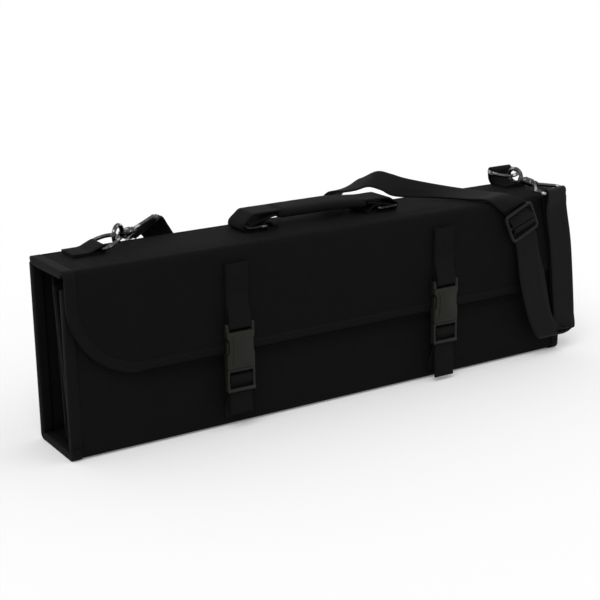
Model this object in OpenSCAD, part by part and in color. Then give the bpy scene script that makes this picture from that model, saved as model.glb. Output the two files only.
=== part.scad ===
// Chef's knife case: a fabric-covered, board-stiffened case that folds shut, with a hinged lid and
// flap, two strap buckles, a carry handle, and a shoulder strap on two swivel snap hooks.
// It stands on its bottom fold. X runs along the case, the front faces -Y, and Z points up.
// The origin is the middle of the face that the case stands on.

/* [Case] */
// Length of the case along its folds
case_l = 480; // [420:1:560]
// Depth from the back panel's face to the front panel's face
case_d = 62; // [58:1:80]
// Height of the closed case
case_h = 147; // [140:1:175]
// Thickness of a covered panel
panel_t = 5; // [4.5:0.5:7]
// Thickness of the stiffening board inside a panel
board_t = 2.2; // [1.6:0.1:3]
// Distance from the front panel's top edge up to the lid
front_gap = 10; // [6:0.5:22]
// Roundness of a panel's long edges
edge_r = 2.4; // [1:0.1:2.4]

/* [Flap] */
// Thickness of the flap
flap_t = 2.6; // [2.4:0.1:4]
// Thickness of the thin board inside the flap
flap_board_t = 1.2; // [0.8:0.1:1.6]
// Height of the flap's lower edge above the floor
flap_low = 61; // [50:1:75]
// Radius of the flap's lower corners
flap_r = 62; // [20:1:66]
// Width of the tape that binds an edge
tape_w = 8; // [5:0.5:12]
// Thickness of that tape
tape_t = 0.8; // [0.5:0.1:1.2]

/* [Inside] */
// Thickness of the knife leaf
leaf_t = 4; // [3:0.5:6]
// Distance from the knife leaf's top edge up to the lid
leaf_gap = 13; // [9:0.5:37]
// Lean of the knife leaf towards the back, in degrees
leaf_lean = 8; // [4:0.5:9]
// Thickness of the divider behind the knife leaf
divider_t = 2.4; // [1.6:0.1:4]
// Thickness of the fabric of a sewn pocket or elastic
pocket_t = 1.2; // [0.8:0.1:1.6]
// Height of the sewn pockets
pocket_h = 72; // [50:1:85]
// Width of the elastic bands
elastic_w = 25; // [15:1:30]

/* [Buckles] */
// Distance from the case's middle to the middle of a buckle
buckle_x = 100; // [70:1:150]
// Width of the strap webbing
web_w = 20; // [18:1:25]
// Thickness of the strap webbing
web_t = 1.6; // [1.2:0.1:2]
// Thickness of the buckle
buckle_t = 6.8; // [6.4:0.1:9]
// Height of the left socket's mouth above the floor
mouth_z = 51.3; // [48:0.1:56]
// How much higher the right buckle sits, on a shorter strap
right_rise = 2.2; // [0:0.1:4]
// Height of the socket's body
socket_h = 29.5; // [28:0.5:34]
// Wall thickness of the socket's sides
socket_wall = 1.7; // [1.4:0.1:2]
// Wall thickness of the socket's faces
face_wall = 1.3; // [1.1:0.1:1.4]
// Thickness of the plug's arms and guide
arm_t = 3.2; // [2.4:0.1:3.3]
// Height above the floor where the left strap's free end stops
tail_left = 14; // [3:1:18]
// Height above the floor where the right strap's free end stops
tail_right = 4; // [3:1:18]
// Running clearance between moulded pieces
play = 0.35; // [0.2:0.05:0.6]

/* [Handle] */
// Distance between the handle's feet
handle_l = 144; // [120:1:200]
// Width of the handle webbing
handle_w = 25; // [20:1:30]
// Height of the handle above the lid
handle_rise = 12; // [12:0.5:26]
// Distance of the handle behind the case's middle
handle_y = 6; // [0:1:12]
// Thickness of the padded grip
grip_t = 6; // [4:0.5:8]

/* [Shoulder strap] */
// Width of the shoulder strap
strap_w = 25; // [20:1:30]
// Thickness of the shoulder strap
strap_t = 1.6; // [1.2:0.1:2]
// Wire radius of the D rings
ring_wire = 1.6; // [1.2:0.1:2]
// Rod radius of the snap hooks
hook_rod = 1.7; // [1.5:0.1:1.9]
// Radius of the hook's jaw to the middle of its rod
jaw_r = 7.2; // [7:0.1:9]
// Length of the hook from the jaw's middle to the eye's bar
hook_l = 46; // [44:1:52]
// Distance of the left D ring's bar from the case's left end
ring_inset = 48; // [40:1:60]
// Distance of the middle of the right D ring's bar from the case's right end
tab_inset = 28; // [22:1:36]

/* [Hidden] */
$fn = 48;
touch = 0.01;
hinge_gap = 0.4;
fabric = [0.07, 0.07, 0.075];
lining = [0.12, 0.12, 0.125];
webbing = [0.1, 0.1, 0.105];
moulding = [0.2, 0.2, 0.18];
chrome = [0.75, 0.76, 0.78];
card = [0.45, 0.38, 0.3];

half_l = case_l / 2;
half_d = case_d / 2;
inner_top = case_h - panel_t;
front_h = inner_top - front_gap;
leaf_h = inner_top - panel_t - leaf_gap;
divider_h = leaf_h + 4;
end_inset = 8;
divider_inset = end_inset + 2;
back_inset = 20;
leaf_inset = 3 * end_inset;
leaf_room = 11;
elastic_drop = 20;
board_gap = 0.2;
board_inset = 6;
back_out = half_d - tape_t;
back_y = back_out - panel_t;
front_y = -half_d + tape_t;
flap_tape_in = -half_d - hinge_gap;
flap_in = flap_tape_in - tape_t;
flap_out = flap_in - flap_t;
flap_tape_out = flap_out - tape_t;
flap_axis_z = case_h - 4;
flap_top = flap_axis_z - 2;
flap_half = half_l - tape_t;
leaf_y = front_y + panel_t + leaf_room;
divider_y = leaf_y + leaf_t + leaf_room;
divider_lean = 3.5;

// Buckle
buckle_w = web_w + 5;
buckle_y = flap_tape_out - buckle_t / 2 - play;
socket_top = mouth_z + socket_h;
bar_r = 1.5;
bar_z = socket_top + bar_r + web_t + 1.5;
waist = 2;
face_rise = 0.5;
rail_r = 1.5;
rail_y = 1.5;
cavity_x = buckle_w / 2 - socket_wall;
cavity_y = buckle_t / 2 - face_wall;
window_low = mouth_z + 11.5;
window_high = window_low + 13;
plug_top = mouth_z - play;
plug_low = mouth_z - 19.6;
plug_t = buckle_t - 2.4;
plug_bar_z = mouth_z - 8.8;

// Handle
foot_x = handle_l / 2;
loop_w = 18;
loop_z = case_h + web_t + 2.4;
loop_wire = 1.5;
grip_z = case_h + handle_rise;

// Strap fittings
ring_r = strap_w / 2 + 1;
ring_leg = 4;
ring_reach = ring_r + ring_leg;
knob_r = 3.6;
eye_half = strap_w / 2 + ring_wire + 0.5;
jaw_z = case_h + jaw_r + hook_rod + 0.5;
ring_l = [-half_l + ring_inset, handle_y + 6, case_h + web_t + ring_wire + 0.35];
lift_l = jaw_z - ring_l[2] - 0.2;
bow_l = ring_l + [sqrt(ring_reach * ring_reach - lift_l * lift_l), 0, lift_l];
aim_l = unit([0.78, 0.62, -0.09]);
jaw_l = bow_l + aim_l * 2.2 + [0, 0, 0.4];
eye_l = jaw_l + aim_l * hook_l;
eye_l_roll = 50;
bar_l = unit([0.48, -0.6, 0.64]);
ring_rt = [half_l - tab_inset, half_d - 6, case_h + 13];
drop_r = ring_rt[2] - jaw_z - 0.8;
bow_r = ring_rt + [0, -sqrt(ring_reach * ring_reach - drop_r * drop_r), -drop_r];
aim_r = unit([7, -45, -6.5]);
jaw_rt = bow_r + aim_r * 3;
eye_r = jaw_rt + aim_r * hook_l;
wrap_r = ring_wire + strap_t / 2 + 0.35;

function unit(v) = v / norm(v);
function spline_at(p, i, t) =
  let (n = len(p) - 1,
       a = p[max(i - 1, 0)], b = p[i], c = p[min(i + 1, n)], d = p[min(i + 2, n)])
  0.5 * (2 * b + (c - a) * t + (2 * a - 5 * b + 4 * c - d) * t * t
         + (3 * b - a - 3 * c + d) * t * t * t);
function spline(p, steps) = [
  for (i = [0 : len(p) - 2]) for (k = [0 : steps - 1]) spline_at(p, i, k / steps),
  p[len(p) - 1]];

// A flat rectangle with round corners, from its lowest to its highest corner
module rounded(a, b, r) {
  translate([a[0] + r, a[1]]) square([b[0] - a[0] - 2 * r, b[1] - a[1]]);
  translate([a[0], a[1] + r]) square([b[0] - a[0], b[1] - a[1] - 2 * r]);
  for (x = [a[0] + r, b[0] - r]) for (y = [a[1] + r, b[1] - r]) translate([x, y]) circle(r);
}

// Runs a profile drawn in Y and Z along X, centred
module along_x(length) {
  rotate([90, 0, 90]) linear_extrude(length, center = true) children();
}

// Runs an outline drawn in X and Z through the thickness from y0 back to y1
module through_y(y0, y1) {
  translate([0, y1, 0]) rotate([90, 0, 0]) linear_extrude(y1 - y0) children();
}

// The profile of a flat band that follows points drawn in Y and Z
module band(points, thickness) {
  n = len(points) - 1;
  normals = [for (i = [0 : n])
    let (d = unit(points[min(i + 1, n)] - points[max(i - 1, 0)])) [-d[1], d[0]]];
  polygon(concat(
    [for (i = [0 : n]) points[i] + normals[i] * thickness / 2],
    [for (i = [n : -1 : 0]) points[i] - normals[i] * thickness / 2]));
}

// Webbing that follows a spatial path, with half its width as a vector at each point
module ribbon(path, sides, thickness) {
  n = len(path) - 1;
  lift = [for (i = [0 : n])
    thickness / 2 * unit(cross(sides[i], path[min(i + 1, n)] - path[max(i - 1, 0)]))];
  points = [for (i = [0 : n]) each [
    path[i] - sides[i] - lift[i], path[i] + sides[i] - lift[i],
    path[i] + sides[i] + lift[i], path[i] - sides[i] + lift[i]]];
  skin = [for (i = [0 : n - 1]) for (k = [0 : 3])
    let (a = 4 * i + k, b = 4 * i + (k + 1) % 4)
    each [[a, b, a + 4], [b, b + 4, a + 4]]];
  ends = [[0, 2, 1], [0, 3, 2], [4 * n, 4 * n + 1, 4 * n + 2], [4 * n, 4 * n + 2, 4 * n + 3]];
  polyhedron(points, concat(skin, ends), convexity = 6);
}

// Webbing through key points of a position and half a width each
module strap(keys, steps) {
  ribbon(spline([for (k = keys) k[0]], steps), spline([for (k = keys) k[1]], steps), strap_t);
}

// A round wire through points, with a ball at each bend; a closed one also joins its last to its first
module wire(points, r, closed) {
  n = len(points);
  for (i = [closed ? 0 : 1 : n - (closed ? 1 : 2)]) translate(points[i]) sphere(r, $fn = 24);
  for (i = [0 : n - (closed ? 1 : 2)]) {
    d = points[(i + 1) % n] - points[i];
    translate(points[i]) rotate([0, acos(d[2] / norm(d)), atan2(d[1], d[0])])
      cylinder(h = norm(d), r = r, $fn = 24);
  }
}

// The points of a closed outline with each corner cut to a short curve that starts r before it
function eased(p, r, steps) =
  let (n = len(p))
  [for (i = [0 : n - 1]) let (
     a = p[i] + r * unit(p[(i + n - 1) % n] - p[i]),
     b = p[i] + r * unit(p[(i + 1) % n] - p[i]))
   for (t = [0 : 1 / steps : 1]) (1 - t) * (1 - t) * a + 2 * t * (1 - t) * p[i] + t * t * b];

// A closed loop of round wire in X and Z that follows an outline
module wire_outline(outline, r, sides) {
  n = len(outline);
  points = [for (i = [0 : n - 1])
    let (d = unit(outline[(i + 1) % n] - outline[(i + n - 1) % n]))
    for (k = [0 : sides - 1])
      let (a = k * 360 / sides)
      [outline[i][0] - d[1] * r * cos(a), r * sin(a), outline[i][1] + d[0] * r * cos(a)]];
  skin = [for (i = [0 : n - 1]) for (k = [0 : sides - 1])
    let (a = i * sides + k, b = i * sides + (k + 1) % sides,
         c = ((i + 1) % n) * sides + k, d = ((i + 1) % n) * sides + (k + 1) % sides)
    each [[a, b, c], [b, d, c]]];
  polyhedron(points, skin, convexity = 6);
}

// Turns X towards a direction, then rolls about it
module aim(at, to, roll) {
  d = to - at;
  translate(at)
    rotate([0, -asin(d[2] / norm(d)), atan2(d[1], d[0])])
      rotate([roll, 0, 0])
        children();
}

// Panels

module upright_cover(y0, z1) {
  along_x(case_l - 2 * tape_t) rounded([y0, panel_t], [y0 + panel_t, z1], edge_r);
}

module upright_board(y0, z1, gap) {
  mid = y0 + panel_t / 2;
  half = board_t / 2 + gap;
  low = panel_t + board_inset - gap;
  high = z1 - board_inset + gap;
  translate([-half_l + board_inset - gap, mid - half, low])
    cube([case_l - 2 * board_inset + 2 * gap, 2 * half, high - low]);
}

module flat_cover(z0) {
  along_x(case_l) rounded([-half_d, z0], [half_d, z0 + panel_t], edge_r);
}

module flat_board(z0, gap) {
  mid = z0 + panel_t / 2;
  half = board_t / 2 + gap;
  translate([-half_l + board_inset - gap, -half_d + board_inset - gap, mid - half])
    cube([case_l - 2 * board_inset + 2 * gap, case_d - 2 * board_inset + 2 * gap, 2 * half]);
}

// Tape folded over the two ends of an upright panel, and over its top where top is true
module upright_tape(y0, z1, top) {
  low = panel_t + edge_r;
  high = top ? z1 + tape_t : z1 - edge_r;
  reach = top ? z1 - tape_w : high + 2 * touch;
  difference() {
    translate([-half_l, y0 - tape_t, low])
      cube([case_l, panel_t + 2 * tape_t, high - low]);
    translate([-half_l + tape_w, y0 - 2 * tape_t, low - touch])
      cube([case_l - 2 * tape_w, panel_t + 4 * tape_t, reach - low + touch]);
    upright_cover(y0, z1);
  }
}

module bottom_spine() {
  color(fabric) difference() {
    flat_cover(0);
    flat_board(0, board_gap);
  }
}

module bottom_board() {
  color(card) flat_board(0, 0);
}

module back_panel() {
  color(fabric) difference() {
    upright_cover(back_y, inner_top - hinge_gap);
    upright_board(back_y, inner_top - hinge_gap, board_gap);
  }
}

module back_board() {
  color(card) upright_board(back_y, inner_top - hinge_gap, 0);
}

module front_panel() {
  color(fabric) difference() {
    upright_cover(front_y, front_h);
    upright_board(front_y, front_h, board_gap);
  }
}

module front_board() {
  color(card) upright_board(front_y, front_h, 0);
}

module back_binding() {
  color(webbing) upright_tape(back_y, inner_top - hinge_gap, false);
}

module front_binding() {
  color(webbing) upright_tape(front_y, front_h, true);
}

// Inner leaves, each on a foot that lies flat on the bottom

module leaning(y, height, lean, thickness) {
  foot = thickness * 0.75;
  rise = foot + (height - foot) * cos(lean);
  run = (height - foot) * sin(lean);
  middle = y + thickness / 2;
  band([[middle, panel_t], [middle, panel_t + foot / 2], [middle, panel_t + foot],
    [middle + run / 2, panel_t + foot / 2 + rise / 2], [middle + run, panel_t + rise]], thickness);
}

module knife_leaf() {
  color(lining) along_x(case_l - 2 * end_inset) leaning(leaf_y, leaf_h, leaf_lean, leaf_t);
}

module on_leaf() {
  foot = leaf_t * 0.75;
  half = leaf_t / 2;
  translate([0, leaf_y + half - half * cos(leaf_lean) - foot * sin(leaf_lean),
             panel_t + foot + half * sin(leaf_lean) - foot * cos(leaf_lean)])
    rotate([-leaf_lean, 0, 0]) children();
}

module leaf_binding() {
  color(webbing) on_leaf() difference() {
    translate([end_inset - tape_t - half_l, -tape_t, leaf_h - tape_w])
      cube([case_l - 2 * end_inset + 2 * tape_t, leaf_t + 2 * tape_t, tape_w + tape_t]);
    translate([end_inset - half_l, -touch, leaf_h - tape_w - 1])
      cube([case_l - 2 * end_inset, leaf_t + 2 * touch, tape_w + 1]);
  }
}

module leaf_pocket() {
  color(fabric) on_leaf() translate([leaf_inset - half_l, -pocket_t, 2 * leaf_t])
    cube([case_l - 2 * leaf_inset, pocket_t, pocket_h]);
}

module leaf_elastic() {
  color(webbing) on_leaf() translate([leaf_inset - half_l, -pocket_t, leaf_h - tape_w - leaf_t / 2 - elastic_w])
    cube([case_l - 2 * leaf_inset, pocket_t, elastic_w]);
}

module divider() {
  color(lining) along_x(case_l - 2 * divider_inset)
    leaning(divider_y, divider_h, divider_lean, divider_t);
}

module back_pocket() {
  color(fabric) translate([back_inset - half_l, back_y - pocket_t, panel_t + 4])
    cube([case_l - 2 * back_inset, pocket_t, pocket_h]);
}

module back_elastic() {
  color(webbing) translate([back_inset - half_l, back_y - pocket_t, inner_top - elastic_drop - elastic_w])
    cube([case_l - 2 * back_inset, pocket_t, elastic_w]);
}

// Lid and flap

module top_spine() {
  color(fabric) difference() {
    flat_cover(inner_top);
    flat_board(inner_top, board_gap);
  }
}

module top_board() {
  color(card) flat_board(inner_top, 0);
}

module lid_fold() {
  near = back_out + tape_t / 2 + 0.35;
  color(fabric) along_x(case_l - 2 * tape_w)
    band([[near, inner_top - 10], [near, inner_top - 4], [half_d + tape_t / 2, inner_top + 1],
      [half_d + tape_t / 2, case_h - edge_r]], tape_t);
}

// The fabric that carries on from the lid over the front edge into the flap
module flap_fold() {
  r = case_h + tape_t / 2 - flap_axis_z;
  middle = [-half_d + 1.2, flap_axis_z];
  color(fabric) along_x(case_l - 2 * tape_w)
    band(concat([[middle[0] + 4, middle[1] + r]],
      [for (a = [0 : 15 : 90]) middle + r * [-sin(a), cos(a)]],
      [[middle[0] - r, flap_top + 1]]), tape_t);
}

module flap_outline(inset) {
  r = flap_r - inset;
  x = flap_half - inset;
  low = flap_low + inset;
  translate([-x + r, low]) square([2 * (x - r), flap_top - inset - low]);
  translate([-x, low + r]) square([2 * x, flap_top - inset - low - r]);
  for (side = [-1, 1]) intersection() {
    translate([side * (x - r), low + r]) circle(r, $fn = 96);
    translate([side * x - x, low]) square([2 * x, flap_top - inset - low]);
  }
}

module flap() {
  middle = (flap_out + flap_in) / 2;
  half = flap_board_t / 2 + board_gap;
  color(fabric) difference() {
    through_y(flap_out, flap_in) flap_outline(tape_t);
    through_y(middle - half, middle + half) flap_outline(board_inset);
  }
}

module flap_board() {
  middle = (flap_out + flap_in) / 2;
  half = flap_board_t / 2;
  color(card) through_y(middle - half, middle + half) flap_outline(board_inset + board_gap);
}

module flap_binding() {
  color(webbing) difference() {
    through_y(flap_tape_out, flap_tape_in) difference() {
      flap_outline(0);
      flap_outline(tape_w);
      translate([tape_w - flap_half, flap_top - 2 * tape_w])
        square([2 * (flap_half - tape_w), 3 * tape_w]);
    }
    through_y(flap_out, flap_in) flap_outline(tape_t);
  }
}

// Buckle straps

module upper_strap(x, rise) {
  back = flap_out - web_t / 2;
  ahead = back - web_t - 0.1;
  r = bar_r + web_t / 2 + 0.15;
  at = [buckle_y, bar_z + rise];
  start = flap_top - 7;
  color(webbing) translate([x, 0, 0]) along_x(web_w)
    band(concat(
      [[back, start], [back, start - 12], [back, at[1] + 14],
       [(back + at[0] + r) / 2, at[1] + 6]],
      [for (a = [0 : 20 : 180]) at + r * [cos(a), -sin(a)]],
      [[(ahead + at[0] - r) / 2 - 0.4, at[1] + 9], [ahead, at[1] + 18],
       [ahead, start - 12], [ahead, start]]), web_t);
}

module upper_strap_left() {
  upper_strap(-buckle_x, 0);
}

module upper_strap_right() {
  upper_strap(buckle_x, right_rise);
}

// Right-hand points of an outline and the same points mirrored, as one closed outline
function both_sides(p) = concat(p, [for (i = [len(p) - 1 : -1 : 0]) [-p[i][0], p[i][1]]]);

// Socket of a side-release buckle: a hollow body, waisted where its windows bare the plug's arms,
// with a raised field on its front and a bar between posts
module socket() {
  half = buckle_w / 2;
  post = 1.2;
  body = both_sides([[half, mouth_z], [half, window_low - 1], [half - waist, window_low + 1.6],
    [half - waist, window_high - 1.6], [half, window_high + 1], [half, socket_top]]);
  field = both_sides([[half - 4, mouth_z + 3], [half - 5.4, window_low + 2],
    [half - 5.4, window_high - 2], [half - 4, socket_top - 3]]);
  difference() {
    union() {
      intersection() {
        translate([0, 0, mouth_z]) linear_extrude(socket_h)
          rounded([-half, -buckle_t / 2], [half, buckle_t / 2], 2);
        through_y(-buckle_t, buckle_t) polygon(eased(body, 1.1, 4));
      }
      through_y(-buckle_t / 2 - face_rise, 1 - buckle_t / 2) polygon(eased(field, 1.1, 4));
    }
    translate([-cavity_x, -cavity_y, mouth_z - 1])
      cube([2 * cavity_x, 2 * cavity_y, socket_h - 1]);
    translate([-buckle_w, -arm_t / 2 - play, window_low])
      cube([2 * buckle_w, arm_t + 2 * play, window_high - window_low]);
  }
  for (side = [-1, 1]) translate([side * (half - post), 0, 0]) {
    translate([-post, -bar_r - 0.4, socket_top - touch])
      cube([2 * post, 2 * bar_r + 0.8, bar_z - socket_top]);
    translate([-post, 0, bar_z]) rotate([0, 90, 0]) cylinder(h = 2 * post, r = bar_r + 0.4);
  }
  translate([post - half, 0, bar_z]) rotate([0, 90, 0])
    cylinder(h = buckle_w - 2 * post, r = bar_r);
}

module socket_left() {
  color(moulding) translate([-buckle_x, buckle_y, 0]) socket();
}

module socket_right() {
  color(moulding) translate([buckle_x, buckle_y, right_rise]) socket();
}

// Plug frame below the socket: a shoulder, two sides, a bar that the strap turns over, and a round
// rail at the foot that lies in front of the strap
module plug() {
  half = buckle_w / 2 - 0.3;
  inside = web_w / 2 + 0.4;
  difference() {
    through_y(-plug_t / 2, plug_t / 2) rounded([-half, plug_low], [half, plug_top], 1);
    translate([-inside, -buckle_t, plug_low - 1])
      cube([2 * inside, 2 * buckle_t, plug_top - plug_low - 1.6]);
  }
  through_y(-plug_t / 2 - face_rise, plug_t / 2 + face_rise)
    rounded([2 - half, plug_top - 2.4], [half - 2, plug_top - 0.5], 0.8);
  translate([-inside - 1, 0, plug_bar_z]) rotate([0, 90, 0])
    cylinder(h = 2 * inside + 2, r = bar_r + 0.1);
  translate([-half, -rail_y, plug_low + rail_r]) rotate([0, 90, 0])
    cylinder(h = 2 * half, r = rail_r);
}

module plug_left() {
  color(moulding) translate([-buckle_x, buckle_y, 0]) plug();
}

module plug_right() {
  color(moulding) translate([buckle_x, buckle_y, right_rise]) plug();
}

// The plug's two sprung arms, whose pads catch in the socket's windows, with the guide between them
module plug_arms() {
  inner = cavity_x - play;
  pad = buckle_w / 2 - 0.5;
  step = window_low + play;
  base = plug_top;
  grooves = [for (k = [0 : 3]) each [[pad, step + 1.4 + 1.7 * k], [pad - 0.5, step + 1.8 + 1.7 * k],
    [pad - 0.5, step + 2.4 + 1.7 * k], [pad, step + 2.8 + 1.7 * k]]];
  arm = concat([[inner - 6.5, base], [inner - 2.4, base], [inner, step - 3], [inner, step],
    [pad, step]], grooves, [[pad - 0.6, step + 9], [inner - 1, window_high - play],
    [inner - 3.4, window_high + 2], [inner - 5, window_high], [inner - 3.6, step + 4],
    [inner - 3.4, step - 2]]);
  through_y(-arm_t / 2, arm_t / 2) {
    polygon(arm);
    mirror([1, 0]) polygon(arm);
    translate([-2, base]) square([4, window_high - base - 4]);
    translate([0, window_high - 4]) circle(2);
  }
}

module plug_arms_left() {
  color(moulding) translate([-buckle_x, buckle_y, 0]) plug_arms();
}

module plug_arms_right() {
  color(moulding) translate([buckle_x, buckle_y, right_rise]) plug_arms();
}

// The strap from the front panel up behind the plug, over its bar, down behind its rail, and on to
// its free end
module lower_strap(x, tail, rise) {
  sewn = front_y - web_t / 2;
  r = bar_r + 0.1 + web_t / 2 + 0.15;
  at = [buckle_y, plug_bar_z + rise];
  behind = rail_r - rail_y + web_t / 2 + 0.15;
  rail = at + [behind, plug_low + rail_r - plug_bar_z];
  base = at[0] + max(r, behind + web_t + 0.15);
  color(webbing) translate([x, 0, 0]) along_x(web_w)
    band(concat(
      [[sewn, panel_t + 3], [sewn, panel_t + 11], [(sewn + base) / 2, panel_t + 17],
       [base, panel_t + 24], [base, rail[1] + 1], [at[0] + r, at[1] - 3]],
      [for (a = [0 : 20 : 180]) at + r * [cos(a), sin(a)]],
      [at + [0.25 - r, -2.4], at + [0.4, -6.2], rail, rail + [-0.4, -3],
       [rail[0] - 1, rail[1] - 8], [rail[0] - 1.6, tail + 5], [rail[0] - 2.2, tail]]), web_t);
}

module lower_strap_left() {
  lower_strap(-buckle_x, tail_left, 0);
}

module lower_strap_right() {
  lower_strap(buckle_x, tail_right, right_rise);
}

// Handle

// A closed wire loop lying flat, with round corners
module wire_loop(half_x, half_y, r, wire) {
  for (sx = [-1, 1]) for (sy = [-1, 1]) translate([sx * (half_x - r), sy * (half_y - r), 0])
    rotate([0, 0, sx > 0 ? (sy > 0 ? 0 : 270) : (sy > 0 ? 90 : 180)])
      rotate_extrude(angle = 90) translate([r, 0]) circle(wire, $fn = 20);
  for (s = [-1, 1]) {
    translate([s * half_x, -half_y + r, 0]) rotate([-90, 0, 0])
      cylinder(h = 2 * (half_y - r), r = wire, $fn = 20);
    translate([-half_x + r, s * half_y, 0]) rotate([0, 90, 0])
      cylinder(h = 2 * (half_x - r), r = wire, $fn = 20);
  }
}

module handle_loops() {
  color(moulding) for (s = [-1, 1]) translate([s * (foot_x - loop_w / 2), handle_y, loop_z])
    wire_loop(loop_w / 2, handle_w / 2 + loop_wire + 1, 3, loop_wire);
}

// Sewn straps on the lid, folded round the inner bar of each handle loop
module handle_chapes() {
  x = foot_x - loop_w;
  r = loop_wire + web_t / 2 + 0.05;
  low = case_h + web_t / 2;
  color(webbing) for (s = [-1, 1]) mirror([s < 0 ? 1 : 0, 0, 0])
    translate([0, handle_y, 0]) rotate([90, 0, 0]) linear_extrude(handle_w, center = true)
      band(concat([[x - 11, low], [x - 6, low], [x - 2, low]],
        [for (a = [-90 : 20 : 90]) [x, loop_z] + r * [cos(a), sin(a)]],
        [[x - 4, low + web_t + 3.5], [x - 7.5, low + web_t + 0.1],
         [x - 11, low + web_t + 0.1]]), web_t);
}

module handle_webbing() {
  r = loop_wire + web_t / 2 + 0.35;
  top = grip_z - 1.2;
  half = [[foot_x - 17, top - 2.6], [foot_x - 8, top - 2.8], [foot_x - r - 1, loop_z + 2]];
  wrap = [for (a = [180 : 20 : 360]) [foot_x, loop_z] + r * [cos(a), sin(a)]];
  outer = [[foot_x + r - 0.6, loop_z + 2.6], [foot_x - 2, top - 1], [foot_x - 9, top],
    [foot_x - 26, top]];
  side = concat(half, wrap, outer);
  color(webbing) translate([0, handle_y, 0]) rotate([90, 0, 0]) linear_extrude(handle_w, center = true)
    band(concat(side, [for (i = [len(side) - 1 : -1 : 0]) [-side[i][0], side[i][1]]]), web_t);
}

module handle_grip() {
  low = grip_z - 1.2 - grip_t / 2;
  half = foot_x - 30;
  color(fabric) translate([0, handle_y, 0]) difference() {
    rotate([0, 90, 0]) linear_extrude(2 * half, center = true)
      rounded([-low - grip_t, -handle_w / 2 - 2], [-low, handle_w / 2 + 2], grip_t / 2 - 0.2);
    translate([-half - 1, -handle_w / 2 - 0.3, low + grip_t / 2 - web_t / 2 - 0.3])
      cube([2 * half + 2, handle_w + 0.6, web_t + 0.6]);
  }
}

// Strap fittings

module half_torus(r, wire) {
  rotate_extrude(angle = 180) translate([r, 0]) circle(wire, $fn = 20);
}

// A D ring whose bar lies on the origin along Y and whose bow reaches out along X
module d_ring() {
  translate([ring_leg, 0, 0]) rotate([0, 0, -90]) half_torus(ring_r, ring_wire);
  wire([[ring_leg, -ring_r, 0], [0, -ring_r, 0], [0, ring_r, 0], [ring_leg, ring_r, 0]],
    ring_wire, false);
}

module d_ring_left() {
  color(chrome) aim(ring_l, bow_l, 0) d_ring();
}

module d_ring_right() {
  color(chrome) aim(ring_rt, bow_r, 0) d_ring();
}

module chape_left() {
  r = ring_wire + web_t / 2 + 0.3;
  low = case_h + web_t / 2;
  color(webbing) translate([0, ring_l[1], 0]) rotate([90, 0, 0]) linear_extrude(strap_w - 2, center = true)
    band(concat([[ring_l[0] - 24, low], [ring_l[0] - 12, low], [ring_l[0] - 4, low]],
      [for (a = [-80 : 20 : 80]) [ring_l[0], ring_l[2]] + r * [cos(a), sin(a)]],
      [[ring_l[0] - 6, low + web_t + 2.4], [ring_l[0] - 14, low + web_t + 0.1],
       [ring_l[0] - 24, low + web_t + 0.1]]), web_t);
}

module chape_right() {
  r = ring_wire + web_t / 2 + 0.3;
  y = ring_rt[1];
  z = ring_rt[2];
  low = case_h + web_t / 2;
  color(webbing) translate([ring_rt[0], 0, 0]) along_x(strap_w - 2)
    band(concat([[y - 22, low], [y - 12, low], [y - 4, low], [y, low + 2], [y + r - 0.4, z - 6]],
      [for (a = [0 : 20 : 180]) [y, z] + r * [cos(a), sin(a)]],
      [[y - r + 0.6, z - 6], [y - 4, low + 4], [y - 8, low + web_t + 0.3],
       [y - 14, low + web_t + 0.1], [y - 22, low + web_t + 0.1]]), web_t);
}

// Snap hook, with its jaw about the origin, its shank along X, and its jaw's plane in X and Z

module hook_jaw() {
  rotate([90, 0, 0]) rotate_extrude(angle = 225) translate([jaw_r, 0]) circle(hook_rod, $fn = 20);
  translate([jaw_r * cos(225), 0, jaw_r * sin(225)]) sphere(hook_rod, $fn = 20);
  difference() {
    union() {
      wire([[jaw_r - 0.6, 0, 0], [jaw_r + 6, 0, 0]], hook_rod, false);
      translate([jaw_r - 1.4, -2.6, -4.6]) cube([5.6, 5.2, 5.4]);
    }
    translate([jaw_r - 2.4, -1.45, -5.6]) cube([4.6, 2.9, 5.4]);
    translate([jaw_r + 0.4, 0, -2.6]) rotate([90, 0, 0])
      cylinder(h = 8, r = 0.75, center = true, $fn = 24);
  }
  difference() {
    translate([jaw_r + 4, 0, 0]) rotate([0, 90, 0]) cylinder(h = 10, r = knob_r, $fn = 32);
    translate([jaw_r + 6.8, 0, 0]) rotate([0, 90, 0]) cylinder(h = 4.6, r = 2.6, $fn = 32);
    translate([jaw_r + 10, 0, 0]) rotate([0, 90, 0]) cylinder(h = 6, r = 1.5, $fn = 32);
  }
}

module gate_pin() {
  translate([jaw_r + 0.4, 0, -2.6]) rotate([90, 0, 0]) cylinder(h = 5.2, r = 0.7, center = true, $fn = 24);
}

// The sprung gate that closes the jaw from its pin to its nose
module hook_gate() {
  pin = [jaw_r + 0.4, -2.6];
  nose = jaw_r * [cos(232), sin(232)];
  along = nose - pin;
  reach = norm(along) - hook_rod - 0.2;
  translate([pin[0], 0, pin[1]]) rotate([0, -atan2(along[1], along[0]), 0]) difference() {
    union() {
      rotate([90, 0, 0]) cylinder(h = 2.3, r = 1.5, center = true, $fn = 24);
      translate([0, -1.15, -1]) cube([reach, 2.3, 2]);
    }
    rotate([90, 0, 0]) cylinder(h = 4, r = 0.8, center = true, $fn = 24);
  }
}

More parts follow.
